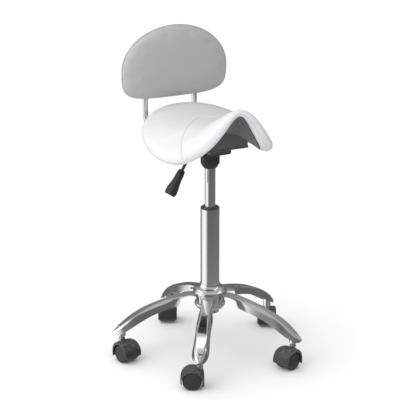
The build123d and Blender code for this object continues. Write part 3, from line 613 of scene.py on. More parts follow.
tube_low, tube_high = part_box("stand_tube")
TUBE_R, TUBE_TOP = tube_high[0], tube_high[2]
collar_low, collar_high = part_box("hub_collar")
rod_low, rod_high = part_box("pressure_cylinder")
CYLINDER_R = rod_high[0]
TUBE_WALL, EASE = 0.002, 0.0006
column_tube = turned("column_tube", [
    (TUBE_R - TUBE_WALL, tube_low[2] + 0.004), (TUBE_R - 0.0009, tube_low[2]),
    (TUBE_R - 0.0004, collar_low[2]), (TUBE_R, collar_low[2] + EASE),
    *arc((TUBE_R - EASE, TUBE_TOP - EASE), EASE, 0, 90, 4),
    (TUBE_R - TUBE_WALL, TUBE_TOP)])
COLLAR_R, COLLAR_TOP = collar_high[0], collar_high[2]
collar = turned("base_collar", [
    (TUBE_R, collar_low[2]), (COLLAR_R - 0.0008, collar_low[2]), (COLLAR_R, collar_low[2] + 0.0008),
    *arc((COLLAR_R - 0.0035, collar_low[2] + 0.0055), 0.0035, 0, 62, 6),
    *arc((COLLAR_R - 0.0030, COLLAR_TOP + 0.0010), 0.0155, 262, 186, 12),
    *arc((TUBE_R + 0.0012, COLLAR_TOP - 0.0010), 0.0010, 0, 90, 3),
    (TUBE_R, COLLAR_TOP)])
inner_column = turned("lift_cylinder", [
    (0.0, rod_low[2]), (CYLINDER_R, rod_low[2]),
    *arc((CYLINDER_R - EASE, rod_high[2] - EASE), EASE, 0, 90, 4), (0.0, rod_high[2])])
print("column tube", round(2 * TUBE_R, 4), "m across, inner column", round(2 * CYLINDER_R, 4))

# %% Bent rods
ROD_BEND, ROD_SIDES = 0.040, 32
rod_box_low, rod_box_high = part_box("back_rod_left")
ROD_R = (rod_box_high[0] - rod_box_low[0]) / 2
ROD_X, ROD_BACK = (rod_box_high[0] + rod_box_low[0]) / 2, rod_box_high[1] - ROD_R


def bent_rod(name, x):
    """A round rod that runs back under the seat and turns up to the backrest."""
    low, back_y = rod_box_low[2] + ROD_R, ROD_BACK
    line = [(rod_box_low[1], low)]
    line += [(back_y - ROD_BEND + ROD_BEND * math.sin(t), low + ROD_BEND - ROD_BEND * math.cos(t))
             for t in np.linspace(0, math.pi / 2, 25)]
    line += [(back_y, rod_box_high[2])]
    line = np.array(line)
    rings = []
    for k, (y, z) in enumerate(line):
        ahead = line[min(k + 1, len(line) - 1)] - line[max(k - 1, 0)]
        ahead = ahead / np.linalg.norm(ahead)
        turns = np.arange(ROD_SIDES) * 2 * math.pi / ROD_SIDES
        rings.append(np.stack([x + ROD_R * np.cos(turns), y - ROD_R * np.sin(turns) * ahead[1],
                               z + ROD_R * np.sin(turns) * ahead[0]], axis=-1))
    piece = capped_rings(name, rings)
    piece.data.set_sharp_from_angle(angle=math.radians(40))
    return piece


rods = [bent_rod("backrest_rod_left", ROD_X), bent_rod("backrest_rod_right", -ROD_X)]
print("rods", round(2 * ROD_R, 4), "m thick")

# %% [markdown]
# ## Castors
#
# Each castor is a moulded hood over two wheels on one axle. The wheels are domed discs with a round
# shoulder and a shallow ring where the hub cap snaps in. The hood is one curved shell with soft
# shoulders: round over the wheels behind, squarer in front where the stem enters, and with a web
# between the wheels. Bevelled cylinders and a bevelled box would be quicker, but a turned profile
# and a swept section give the shoulders their true roundness. One castor is worked out about its
# own axle and set down where each joint is.

# %% Wheels
WHEEL_R, WHEEL_INNER, WHEEL_OUTER = 0.025, 0.0065, 0.0255
SHOULDER_R, CAP_R = 0.0065, 0.0135
WHEEL_SIDES = 64


def axle_frame(joint):
    """The axle's middle, its direction and the direction ahead, from the record's joint."""
    middle, axis = np.array(joint["pos_m"]), np.array(joint["axis"])
    return middle, axis, np.cross(axis, (0.0, 0.0, 1.0))


def wheel_profile():
    """Half section of a wheel as (distance from the axle, distance along it)."""
    dome = [(r, WHEEL_OUTER - 0.0022 * (r / WHEEL_R) ** 2) for r in (0.004, 0.008, 0.011)]
    ring = [(CAP_R - 0.0007, WHEEL_OUTER - 0.0008), (CAP_R - 0.0003, WHEEL_OUTER - 0.0016),
            (CAP_R + 0.0004, WHEEL_OUTER - 0.0016), (CAP_R + 0.0008, WHEEL_OUTER - 0.0009)]
    shoulder = [(WHEEL_R - SHOULDER_R + SHOULDER_R * math.sin(t),
                 WHEEL_OUTER - 0.0014 - SHOULDER_R + SHOULDER_R * math.cos(t))
                for t in np.linspace(0.1, math.pi / 2, 9)]
    inner = [(WHEEL_R, WHEEL_INNER + 0.0022), (WHEEL_R - 0.0006, WHEEL_INNER + 0.0006),
             (WHEEL_R - 0.0022, WHEEL_INNER), (0.006, WHEEL_INNER)]
    return dome + ring + shoulder + inner


def castor_wheel(name, joint, node):
    """One wheel, on the side of the axle where its node is."""
    middle, axis, ahead = axle_frame(joint)
    low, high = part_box(node)
    side = math.copysign(1.0, float(np.dot((np.array(low) + np.array(high)) / 2 - middle, axis)))
    turns = np.arange(WHEEL_SIDES) * 2 * math.pi / WHEEL_SIDES
    spokes = np.outer(np.cos(turns), ahead) + np.outer(np.sin(turns), (0.0, 0.0, 1.0)) * side
    rings = [middle + spokes * r + axis * along * side for r, along in wheel_profile()]
    piece = capped_rings(name, rings)
    piece.data.set_sharp_from_angle(angle=math.radians(38))
    return piece


print("wheel", 2 * WHEEL_R, "m across")

# %% Hoods
HOOD_R, HOOD_NOSE, HOOD_HALF, HOOD_WALL = 0.030, 0.031, 0.0265, 0.0024
HOOD_START, HOOD_END = math.radians(-14), math.radians(203)
NOSE_POWER = 3.4
ACROSS_POWER, DROP_POWER, TREAD_GAP = 0.62, 0.42, 0.0012
WEB = [(-0.0275, -0.0048), (-0.0275, 0.025), (-0.012, 0.028), (0.018, 0.022), (0.009, -0.008),
       (-0.009, -0.010)]
WEB_HALF = 0.0055


def hood_reach(turn):
    """Distance of the hood's outside from the axle, at an angle from behind over the top."""
    c, s = abs(math.cos(turn)), abs(math.sin(turn))
    if turn < math.pi / 2:
        return HOOD_R
    if turn > math.pi:
        return HOOD_NOSE / c
    return ((c / HOOD_NOSE) ** NOSE_POWER + (s / HOOD_R) ** NOSE_POWER) ** (-1 / NOSE_POWER)


def hood_section(turn):
    """Closed loop of (across, distance from the axle) round the shell at one angle."""
    outer, lip = hood_reach(turn), WHEEL_R + TREAD_GAP
    loop = []
    for t in np.linspace(0, math.pi, 23):
        across, drop = math.cos(t), math.sin(t)
        across = math.copysign(abs(across) ** ACROSS_POWER, across)
        loop.append((across * HOOD_HALF, lip + (outer - lip) * drop**DROP_POWER))
    inside = [(y * (HOOD_HALF - HOOD_WALL) / HOOD_HALF, max(rho - HOOD_WALL, lip - 0.0002))
              for y, rho in reversed(loop)]
    return loop + inside


def castor_hood(name, joint):
    """The hood's shell and the web inside it, as one mesh."""
    middle, axis, ahead = axle_frame(joint)
    rings = []
    for turn in np.linspace(HOOD_START, HOOD_END, 56):
        spoke = math.cos(turn) * ahead + math.sin(turn) * np.array((0.0, 0.0, 1.0))
        rings.append(np.array([middle + spoke * rho + axis * y for y, rho in hood_section(turn)]))
    rows, columns = len(rings), len(rings[0])
    points, faces = list(np.concatenate(rings)), ring_faces(rows, columns)
    half = columns // 2
    for k in range(half - 1):
        for row, flip in ((0, False), (rows - 1, True)):
            quad = [row * columns + i for i in (k, k + 1, columns - 2 - k, columns - 1 - k)]
            faces.append(tuple(reversed(quad)) if flip else tuple(quad))
    first = len(points)
    for y in (-WEB_HALF, WEB_HALF):
        points += [middle + ahead * x + np.array((0, 0, z)) + axis * y for x, z in WEB]
    count = len(WEB)
    faces.append(tuple(first + k for k in range(count)))
    faces.append(tuple(first + count + k for k in reversed(range(count))))
    for k in range(count):
        n = (k + 1) % count
        faces.append((first + k, first + count + k, first + count + n, first + n))
    piece = new_object(name, points, faces)
    piece.data.set_sharp_from_angle(angle=math.radians(45))
    return piece


joints = {joint["name"]: joint for joint in frame["record"]["behaviour"]["joints"]}
castor_sides = [name.removeprefix("castor_swivel_") for name in joints if name.startswith("castor_swivel_")]
castor_pieces = []
for side in castor_sides:
    for letter in "ab":
        node_name = f"wheel_{letter}_{side}"
        spin = joints[f"wheel_{letter}_spin_{side}"]
        wheel = castor_wheel(f"castor_wheel_{letter}_{side}", spin, node_name)
        castor_pieces.append((wheel, node_name, node_name, "wheel_nylon"))
    hood = castor_hood(f"castor_hood_{side}", joints[f"wheel_a_spin_{side}"])
    castor_pieces.append((hood, f"castor_{side}", f"hood_{side}", "castor_plastic"))
print("castor pieces:", len(castor_pieces))

# %% [markdown]
# ## Helpers for materials
#
# A material is a small network of nodes. The helper below places one node, sets or links its inputs
# by name and returns it, so each material reads as a short list. Effects that several finishes share
# are node groups with named inputs and outputs, made once.

# %% Node helpers
def place(tree, kind, inputs=None, **settings):
    """Add a node, set its options, and set or link its inputs."""
    made = tree.nodes.new(kind)
    for option, value in settings.items():
        setattr(made, option, value)
    for key, value in (inputs or {}).items():
        if isinstance(value, bpy.types.NodeSocket):
            tree.links.new(value, made.inputs[key])
        else:
            made.inputs[key].default_value = value
    return made


def maths(tree, operation, *values, clamp=False):
    """One Math node; returns its output."""
    inputs = dict(enumerate(values))
    return place(tree, "ShaderNodeMath", inputs, operation=operation, use_clamp=clamp).outputs[0]


def blend_colour(tree, factor, first, second):
    """Mix two colours by a mask; returns the result."""
    mix = place(tree, "ShaderNodeMix", data_type="RGBA")
    for key, value in ((0, factor), (6, first), (7, second)):
        if isinstance(value, bpy.types.NodeSocket):
            tree.links.new(value, mix.inputs[key])
        else:
            mix.inputs[key].default_value = value
    return mix.outputs[2]


def new_group(name, inputs, outputs):
    """A shader node group with named sockets; returns the group, its input node and its output node."""
    group = bpy.data.node_groups.new(name, "ShaderNodeTree")
    kinds = {"colour": "NodeSocketColor", "value": "NodeSocketFloat"}
    for label, kind, start in inputs:
        socket = group.interface.new_socket(label, in_out="INPUT", socket_type=kinds[kind])
        socket.default_value = start
    for label, kind in outputs:
        group.interface.new_socket(label, in_out="OUTPUT", socket_type=kinds[kind])
    return group, group.nodes.new("NodeGroupInput"), group.nodes.new("NodeGroupOutput")


def object_place(tree):
    """The point on the object, in metres, as a vector socket."""
    return place(tree, "ShaderNodeTexCoord").outputs["Object"]


def grey(value, alpha=1.0):
    """A neutral colour."""
    return (value, value, value, alpha)


print("node helpers ready")

# %% [markdown]
# ## Shared effects
#
# Real surfaces are never one even value. Colour drifts slowly over a hide or a moulding, gloss drifts
# where hands and cleaning cloths have been, edges rub bright, and dust settles on what faces up. Each
# of these is one group here, and a material chooses how much of it to take.

# %% Slow drift of colour and gloss
drift_group, gin, gout = new_group(
    "surface drift",
    [("Colour", "colour", grey(0.8)), ("Colour Amount", "value", 0.1),
     ("Roughness", "value", 0.4), ("Roughness Amount", "value", 0.1), ("Scale", "value", 12.0)],
    [("Colour", "colour"), ("Roughness", "value")],
)
slow = place(drift_group, "ShaderNodeTexNoise",
             {"Vector": object_place(drift_group), "Scale": gin.outputs["Scale"], "Detail": 4.0})
centred = maths(drift_group, "SUBTRACT", slow.outputs["Fac"], 0.5)
shade = maths(drift_group, "MULTIPLY_ADD", centred, gin.outputs["Colour Amount"], 1.0)
tinted = place(drift_group, "ShaderNodeVectorMath",
               {0: gin.outputs["Colour"]}, operation="SCALE")
drift_group.links.new(shade, tinted.inputs["Scale"])
rough = maths(drift_group, "MULTIPLY_ADD", centred, gin.outputs["Roughness Amount"],
              gin.outputs["Roughness"], clamp=True)
drift_group.links.new(tinted.outputs[0], gout.inputs["Colour"])
drift_group.links.new(rough, gout.inputs["Roughness"])
print(drift_group.name, "made")

# %% Rubbed edges
edge_group, gin, gout = new_group(
    "edge wear",
    [("Colour", "colour", grey(0.1)), ("Worn Colour", "colour", grey(0.4)),
     ("Amount", "value", 0.5), ("Scale", "value", 120.0)],
    [("Colour", "colour"), ("Mask", "value")],
)
sharp = place(edge_group, "ShaderNodeNewGeometry").outputs["Pointiness"]
rubbed = place(edge_group, "ShaderNodeTexNoise",
               {"Vector": object_place(edge_group), "Scale": gin.outputs["Scale"], "Detail": 5.0})
edge = place(edge_group, "ShaderNodeMapRange",
             {"Value": sharp, "From Min": 0.515, "From Max": 0.60}, interpolation_type="SMOOTHSTEP")
patchy = maths(edge_group, "MULTIPLY", edge.outputs[0], rubbed.outputs["Fac"])
mask = maths(edge_group, "MULTIPLY", patchy, gin.outputs["Amount"], clamp=True)
edge_group.links.new(
    blend_colour(edge_group, mask, gin.outputs["Colour"], gin.outputs["Worn Colour"]),
    gout.inputs["Colour"])
edge_group.links.new(mask, gout.inputs["Mask"])
print(edge_group.name, "made")

# %% Settled dust
dust_group, gin, gout = new_group(
    "settled dust",
    [("Colour", "colour", grey(0.1)), ("Dust Colour", "colour", (0.42, 0.41, 0.39, 1.0)),
     ("Amount", "value", 0.2), ("Scale", "value", 60.0)],
    [("Colour", "colour"), ("Mask", "value")],
)
facing = place(dust_group, "ShaderNodeSeparateXYZ",
               {0: place(dust_group, "ShaderNodeNewGeometry").outputs["Normal"]})
upward = place(dust_group, "ShaderNodeMapRange",
               {"Value": facing.outputs["Z"], "From Min": 0.3, "From Max": 1.0})
specks = place(dust_group, "ShaderNodeTexNoise",
               {"Vector": object_place(dust_group), "Scale": gin.outputs["Scale"], "Detail": 6.0})
thin = place(dust_group, "ShaderNodeMapRange",
             {"Value": specks.outputs["Fac"], "From Min": 0.35, "From Max": 0.75})
lying = maths(dust_group, "MULTIPLY", upward.outputs[0], thin.outputs[0])
mask = maths(dust_group, "MULTIPLY", lying, gin.outputs["Amount"], clamp=True)
dust_group.links.new(
    blend_colour(dust_group, mask, gin.outputs["Colour"], gin.outputs["Dust Colour"]),
    gout.inputs["Colour"])
dust_group.links.new(mask, gout.inputs["Mask"])
print(dust_group.name, "made")

# %% Pebbled hide grain
grain_group, gin, gout = new_group(
    "hide grain",
    [("Scale", "value", 700.0), ("Fold Scale", "value", 45.0), ("Fold Amount", "value", 0.25)],
    [("Height", "value")],
)
here = object_place(grain_group)
wander = place(grain_group, "ShaderNodeTexNoise", {"Vector": here, "Scale": 160.0, "Detail": 2.0})
pulled = place(grain_group, "ShaderNodeVectorMath",
               {0: wander.outputs["Color"], 1: (0.002, 0.002, 0.002), 2: here},
               operation="MULTIPLY_ADD")
pebbles = place(grain_group, "ShaderNodeTexVoronoi",
                {"Vector": pulled.outputs[0], "Scale": gin.outputs["Scale"]},
                feature="DISTANCE_TO_EDGE")
raised = place(grain_group, "ShaderNodeMapRange",
               {"Value": pebbles.outputs["Distance"], "From Max": 0.28},
               interpolation_type="SMOOTHSTEP")
folds = place(grain_group, "ShaderNodeTexNoise",
              {"Vector": here, "Scale": gin.outputs["Fold Scale"], "Detail": 3.0})
height = maths(grain_group, "MULTIPLY_ADD", folds.outputs["Fac"], gin.outputs["Fold Amount"],
               raised.outputs[0])
grain_group.links.new(height, gout.inputs["Height"])
print(grain_group.name, "made")

# %% Moulded texture and orange peel
moulded_group, gin, gout = new_group(
    "moulded texture", [("Scale", "value", 1500.0), ("Peel Scale", "value", 300.0),
                        ("Peel Amount", "value", 0.5)], [("Height", "value")])
here = object_place(moulded_group)
fine = place(moulded_group, "ShaderNodeTexNoise",
             {"Vector": here, "Scale": gin.outputs["Scale"], "Detail": 3.0})
peel = place(moulded_group, "ShaderNodeTexNoise",
             {"Vector": here, "Scale": gin.outputs["Peel Scale"], "Detail": 1.0})
height = maths(moulded_group, "MULTIPLY_ADD", peel.outputs["Fac"], gin.outputs["Peel Amount"],
               fine.outputs["Fac"])
moulded_group.links.new(height, gout.inputs["Height"])
print(moulded_group.name, "made")

# %% Fine polishing lines
polish_group, gin, gout = new_group(
    "polishing lines", [("Scale", "value", 90.0), ("Stretch", "value", 14.0)], [("Height", "value")])
axes = place(polish_group, "ShaderNodeSeparateXYZ", {0: object_place(polish_group)})
stretched = maths(polish_group, "MULTIPLY", axes.outputs["Z"], gin.outputs["Stretch"])
swept = place(polish_group, "ShaderNodeCombineXYZ",
              {0: axes.outputs["X"], 1: axes.outputs["Y"], 2: stretched})
lines = place(polish_group, "ShaderNodeTexNoise",
              {"Vector": swept.outputs[0], "Scale": gin.outputs["Scale"], "Detail": 5.0})
polish_group.links.new(lines.outputs["Fac"], gout.inputs["Height"])
print(polish_group.name, "made")

# %% Woven threads
weave_group, gin, gout = new_group("weave", [("Scale", "value", 2600.0)], [("Height", "value")])
axes = place(weave_group, "ShaderNodeSeparateXYZ", {0: object_place(weave_group)})
warp = maths(weave_group, "SINE", maths(weave_group, "MULTIPLY", axes.outputs["X"], gin.outputs["Scale"]))
weft = maths(weave_group, "SINE", maths(weave_group, "MULTIPLY", axes.outputs["Y"], gin.outputs["Scale"]))
weave_group.links.new(maths(weave_group, "MULTIPLY", warp, weft), gout.inputs["Height"])
print(weave_group.name, "made")

# %% [markdown]
# ## Finishes
#
# Each material is a Principled shader with its plain values set on its own sockets, and the shared
# groups feed only what changes over the surface. Chrome is a mirror with faint polishing lines, so
# most of its look comes from the studio around it. The covers are leatherette: soft gloss, fine
# pebbled grain, and slow drift where the foam pulls the skin.

# %% A material with its usual parts
def new_material(name, colour, roughness, metallic=0.0, drift=None, bump=None, **plain):
    """A Principled material; drift is (colour amount, gloss amount, scale), bump is (group, values,
    strength, distance). Returns the material, its tree and its shader."""
    material = bpy.data.materials.new(name)
    material.use_nodes = True
    tree = material.node_tree
    shader = tree.nodes["Principled BSDF"]
    shader.inputs["Metallic"].default_value = metallic
    shader.inputs["Roughness"].default_value = roughness
    shader.inputs["Base Color"].default_value = colour
    for socket, value in plain.items():
        shader.inputs[socket.replace("_", " ")].default_value = value
    if drift is not None:
        varied = place(tree, "ShaderNodeGroup", node_tree=drift_group)
        settings = {"Colour": colour, "Colour Amount": drift[0], "Roughness": roughness,
                    "Roughness Amount": drift[1], "Scale": drift[2]}
        for key, value in settings.items():
            varied.inputs[key].default_value = value
        tree.links.new(varied.outputs["Colour"], shader.inputs["Base Color"])
        tree.links.new(varied.outputs["Roughness"], shader.inputs["Roughness"])
    if bump is not None:
        group, values, strength, distance = bump
        relief = place(tree, "ShaderNodeGroup", node_tree=group)
        for key, value in values.items():
            relief.inputs[key].default_value = value
        raised = place(tree, "ShaderNodeBump",
                       {"Strength": strength, "Distance": distance, "Height": relief.outputs["Height"]})
        tree.links.new(raised.outputs["Normal"], shader.inputs["Normal"])
    return material, tree, shader


def over_base(tree, shader, group, output="Colour", **values):
    """Pass the shader's base colour through one more group, such as edge wear or dust."""
    layer = place(tree, "ShaderNodeGroup", node_tree=group)
    for key, value in values.items():
        layer.inputs[key.replace("_", " ")].default_value = value
    source = shader.inputs["Base Color"]
    if source.is_linked:
        tree.links.new(source.links[0].from_socket, layer.inputs["Colour"])
    else:
        layer.inputs["Colour"].default_value = source.default_value
    tree.links.new(layer.outputs[output], source)
    return layer


finishes = {}
print("ready to make finishes")

# %% Metals
finishes["chrome"], tree, shader = new_material(
    "chrome", grey(0.80), 0.075, metallic=1.0, drift=(0.05, 0.10, 26.0),
    bump=(polish_group, {"Scale": 160.0, "Stretch": 9.0}, 0.05, 0.0004))
over_base(tree, shader, dust_group, Amount=0.10, Scale=90.0)

finishes["steel"], tree, shader = new_material(
    "zinc steel", grey(0.60), 0.32, metallic=1.0, drift=(0.20, 0.18, 90.0),
    bump=(polish_group, {"Scale": 420.0, "Stretch": 3.0}, 0.15, 0.0003))
over_base(tree, shader, edge_group, Worn_Colour=grey(0.8), Amount=0.6)

finishes["alloy"], tree, shader = new_material(
    "machined alloy", grey(0.66), 0.28, metallic=1.0, drift=(0.10, 0.12, 70.0),
    bump=(polish_group, {"Scale": 500.0, "Stretch": 10.0}, 0.2, 0.0002))

finishes["black_steel"], tree, shader = new_material(
    "black powder coat", grey(0.020), 0.44, drift=(0.5, 0.16, 55.0),
    bump=(moulded_group, {"Scale": 1200.0, "Peel Scale": 420.0, "Peel Amount": 1.0}, 0.35, 0.0004))
over_base(tree, shader, edge_group, Worn_Colour=grey(0.16), Amount=0.8)
over_base(tree, shader, dust_group, Amount=0.22)
print("metals:", ", ".join(finishes))

# %% [markdown]
# ## Moulded plastics, rubber and board
#
# The castors and the lever's grip are nylon mouldings with a satin spark texture. Their edges are
# rubbed a little lighter by use, and dust lies on the castor hoods because they run on the floor.

# %% Plastics, rubber and board
moulded = {"Scale": 1700.0, "Peel Scale": 500.0, "Peel Amount": 0.4}
finishes["black_plastic"], tree, shader = new_material(
    "moulded black plastic", grey(0.022), 0.42, drift=(0.4, 0.16, 60.0),
    bump=(moulded_group, moulded, 0.3, 0.0004))
over_base(tree, shader, edge_group, Worn_Colour=grey(0.12), Amount=0.7)
over_base(tree, shader, dust_group, Amount=0.14)

finishes["castor_plastic"], tree, shader = new_material(
    "castor nylon", grey(0.032), 0.38, drift=(0.5, 0.20, 75.0),
    bump=(moulded_group, moulded, 0.35, 0.0004))
over_base(tree, shader, edge_group, Worn_Colour=grey(0.17), Amount=0.9)
over_base(tree, shader, dust_group, Amount=0.30, Scale=110.0)

finishes["wheel_nylon"], tree, shader = new_material(
    "wheel nylon", grey(0.030), 0.47, drift=(0.5, 0.20, 95.0),
    bump=(moulded_group, {"Scale": 1000.0, "Peel Scale": 260.0, "Peel Amount": 0.8}, 0.4, 0.0005))
over_base(tree, shader, edge_group, Worn_Colour=grey(0.15), Amount=1.0)
over_base(tree, shader, dust_group, Amount=0.35, Scale=140.0)

finishes["buffer_rubber"], tree, shader = new_material(
    "buffer rubber", grey(0.03), 0.75, drift=(0.3, 0.1, 60.0),
    bump=(moulded_group, {"Scale": 800.0, "Peel Scale": 200.0, "Peel Amount": 0.5}, 0.4, 0.0005))

finishes["plywood"], tree, shader = new_material(
    "stained plywood", (0.05, 0.045, 0.04, 1.0), 0.62, drift=(0.9, 0.2, 24.0),
    bump=(polish_group, {"Scale": 240.0, "Stretch": 0.2}, 0.4, 0.0005))
over_base(tree, shader, dust_group, Amount=0.25)
print("finishes so far:", len(finishes))

# %% [markdown]
# ## Leatherette covers and the lining
#
# The seat's cover is white and the backrest's is a light grey. Both have the same embossed grain, a
# fraction of a millimetre deep, so it catches light without showing as bumps. A fine line of painted
# shade, darker grey, follows the bottom of the seat's seam, where the two panels turn inwards.

# %% Leatherettes and lining
hide = {"Scale": 850.0, "Fold Scale": 60.0, "Fold Amount": 0.35}
finishes["white_leatherette"], tree, shader = new_material(
    "white leatherette", (0.69, 0.69, 0.70, 1.0), 0.40, drift=(0.045, 0.14, 14.0),
    bump=(grain_group, hide, 0.16, 0.0005), Coat_Weight=0.10, Coat_Roughness=0.28,
    Sheen_Weight=0.06, Sheen_Roughness=0.5)
over_base(tree, shader, dust_group, Dust_Colour=(0.70, 0.69, 0.67, 1.0), Amount=0.10, Scale=45.0)

finishes["grey_leatherette"], tree, shader = new_material(
    "grey leatherette", (0.40, 0.40, 0.405, 1.0), 0.42, drift=(0.09, 0.16, 13.0),
    bump=(grain_group, hide, 0.20, 0.0005), Coat_Weight=0.10, Coat_Roughness=0.30,
    Sheen_Weight=0.08, Sheen_Roughness=0.5)
over_base(tree, shader, dust_group, Dust_Colour=(0.60, 0.59, 0.57, 1.0), Amount=0.10, Scale=45.0)

finishes["lining_cloth"], tree, shader = new_material(
    "woven lining", (0.075, 0.075, 0.078, 1.0), 0.85, drift=(0.25, 0.1, 30.0),
    bump=(weave_group, {"Scale": 3600.0}, 0.5, 0.0004), Sheen_Weight=0.3)

thread, tree, shader = new_material(
    "white thread", (0.80, 0.80, 0.80, 1.0), 0.6, drift=(0.15, 0.1, 200.0),
    bump=(polish_group, {"Scale": 2200.0, "Stretch": 1.0}, 0.3, 0.0002), Sheen_Weight=0.3)
print("leatherettes and lining made")

# %% The painted shade line in the bottom of the seam
# width and darkness of the painted shade along the bottom of the seat seam
SEAM_SHADE_HALF, SEAM_SHADE = 0.00085, 0.50


def seam_shade_mask(tree):
    """A mask of painted shade that is 1 in the bottom of the seat seam, worked out from the place on the
    object.
    """
    axes = place(tree, "ShaderNodeSeparateXYZ", {0: object_place(tree)})
    square = maths(tree, "MULTIPLY_ADD", axes.outputs["X"], axes.outputs["X"], SEAM_ROUND**2)
    reach = maths(tree, "SQRT", square)
    curl = maths(tree, "POWER", maths(tree, "DIVIDE", reach, SEAM_TURN_X), float(SEAM_POWER))
    straight = maths(tree, "MULTIPLY_ADD", reach, -SEAM_SLOPE, SEAM_APEX_Y)
    line = maths(tree, "MULTIPLY_ADD", curl, -SEAM_APEX_Y, straight)
    slope = maths(tree, "MULTIPLY_ADD", curl, SEAM_POWER * SEAM_APEX_Y / SEAM_TURN_X, SEAM_SLOPE)
    steep = maths(tree, "SQRT", maths(tree, "MULTIPLY_ADD", slope, slope, 1.0))
    off = maths(tree, "ABSOLUTE", maths(tree, "SUBTRACT", axes.outputs["Y"], line))
    distance = maths(tree, "DIVIDE", off, steep)
    close = place(tree, "ShaderNodeMapRange",
                  {"Value": distance, "From Min": SEAM_SHADE_HALF, "From Max": SEAM_SHADE_HALF * 0.3},
                  interpolation_type="SMOOTHSTEP")
    upward = place(tree, "ShaderNodeSeparateXYZ",
                   {0: place(tree, "ShaderNodeNewGeometry").outputs["Normal"]})
    on_top = maths(tree, "GREATER_THAN", upward.outputs["Z"], -0.2)
    return maths(tree, "MULTIPLY", close.outputs[0], on_top)


tree = finishes["white_leatherette"].node_tree
base = tree.nodes["Principled BSDF"].inputs["Base Color"]
before = base.links[0].from_socket
# painted shade: the white turns darker grey along the bottom of the seam, where the crease is shaded
tree.links.new(blend_colour(tree, maths(tree, "MULTIPLY", seam_shade_mask(tree), 0.75), before,
                            grey(SEAM_SHADE * 0.5)), base)
print("seam line drawn in the white leatherette")

# %% [markdown]
# ## Dress the frame and hang the new pieces on it
#
# Every hard part keeps the shape it was measured with and takes the finish its record names. The
# padded skins ride on the seat's body and stand for the plain solids, so the stool can be posed or
# repainted later.

# %% Dress the hard parts
slot_of = {part["node"]: part["material_slot"] for part in frame["record"]["subparts"]}
for name, node_object in frame["nodes"].items():
    finish_here = finishes[slot_of[name]]
    if node_object.material_slots:
        for material_slot in node_object.material_slots:
            material_slot.material = finish_here
    else:
        node_object.data.materials.append(finish_here)
print("dressed", len(slot_of), "hard parts")

# %% Place the soft pieces
for piece, material, slot_name in (
    (cushion, finishes["white_leatherette"], "white_leatherette"),
    (seat_piping, finishes["white_leatherette"], "white_leatherette"),
    (stitches, thread, "white_leatherette"),
    (back, finishes["grey_leatherette"], "grey_leatherette"),
    (back_piping, finishes["grey_leatherette"], "grey_leatherette"),
):
    piece.data.materials.clear()
    piece.data.materials.append(material)
    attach(piece, "seat")
for piece, body, node_name in (
    (column_tube, "base", "stand_tube"),
    (collar, "base", "hub_collar"),
    (inner_column, "seat", "pressure_cylinder"),
    (rods[0], "seat", "back_rod_left"),
    (rods[1], "seat", "back_rod_right"),
):
    piece.data.materials.append(finishes["chrome"])
    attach(piece, body)
    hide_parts(node_name)
for piece, body, node_name, slot_name in castor_pieces:
    piece.data.materials.append(finishes[slot_name])
    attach(piece, body)
    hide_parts(node_name)
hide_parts("seat_cushion")
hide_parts("back_cushion")
print("soft pieces placed")

# %% [markdown]
# ## Floor and studio
#
# The floor is wide, pale and plain. Large soft lights stand to the left and above. Chrome shows
# whatever surrounds it, so mirror rays see a simple studio painted in the world: dim walls, a
# brighter ceiling and one tall soft panel to the left, which draws the clean bright band down the
# column. The camera sees plain white behind the floor. All other rays see soft light that leans to
# one side, bright from the upper left and dim from the lower right, which models the round shapes.

# %% Floor
FLOOR_HALF = 30.0
floor = new_object("studio_floor", [(-FLOOR_HALF, -FLOOR_HALF, 0), (FLOOR_HALF, -FLOOR_HALF, 0),
                                    (FLOOR_HALF, FLOOR_HALF, 0), (-FLOOR_HALF, FLOOR_HALF, 0)],
                   [(0, 1, 2, 3)], smooth=False)
floor_material, tree, shader = new_material(
    "pale floor", grey(0.94), 0.8, drift=(0.01, 0.05, 0.8),
    bump=(moulded_group, {"Scale": 300.0, "Peel Scale": 60.0, "Peel Amount": 0.5}, 0.02, 0.0005))
floor.data.materials.append(floor_material)
floor.visible_glossy = False
print("floor", 2 * FLOOR_HALF, "m wide")

# %% World: what the rays see
ROOM_LIGHT, ROOM_LEAN = 0.80, 0.92
ROOM_TOWARDS = (-0.86, 0.02, 0.51)
PANEL_TOWARDS = (-0.953, 0.302, 0.0)
PANEL_SIDES, PANEL_FOOT, PANEL_HEAD = (0.62, 0.97), (-0.75, -0.25), (0.90, 0.45)
PANEL_LIGHT, STRIP_LIGHT = 0.95, 0.8
ROOM_DIM, FLOOR_GLOW, CEILING_GLOW = 0.14, 0.20, 0.42
world = bpy.data.worlds.new("studio")
bpy.context.scene.world = world
world.use_nodes = True
tree = world.node_tree
tree.nodes.clear()
ray = place(tree, "ShaderNodeTexCoord").outputs["Generated"]
axes = place(tree, "ShaderNodeSeparateXYZ", {0: ray})
level = place(tree, "ShaderNodeCombineXYZ", {0: axes.outputs["X"], 1: axes.outputs["Y"]})
level = place(tree, "ShaderNodeVectorMath", {0: level.outputs[0]}, operation="NORMALIZE")
towards = place(tree, "ShaderNodeVectorMath", {0: level.outputs[0], 1: PANEL_TOWARDS},
                operation="DOT_PRODUCT")


def step_between(value, low, high):
    """0 below low, 1 above high, smooth between."""
    return place(tree, "ShaderNodeMapRange", {"Value": value, "From Min": low, "From Max": high},
                 interpolation_type="SMOOTHSTEP").outputs[0]


height_here = axes.outputs["Z"]
panel = maths(tree, "MULTIPLY", step_between(towards.outputs["Value"], *PANEL_SIDES),
              maths(tree, "MULTIPLY", step_between(height_here, *PANEL_FOOT),
                    step_between(height_here, *PANEL_HEAD)))
# a dim room: darkest at eye level, a little floor light below, brighter above
below = step_between(height_here, -0.02, -0.7)
above = step_between(height_here, 0.05, 0.95)
room = maths(tree, "MULTIPLY_ADD", below, FLOOR_GLOW, ROOM_DIM)
room = maths(tree, "MULTIPLY_ADD", above, CEILING_GLOW, room)
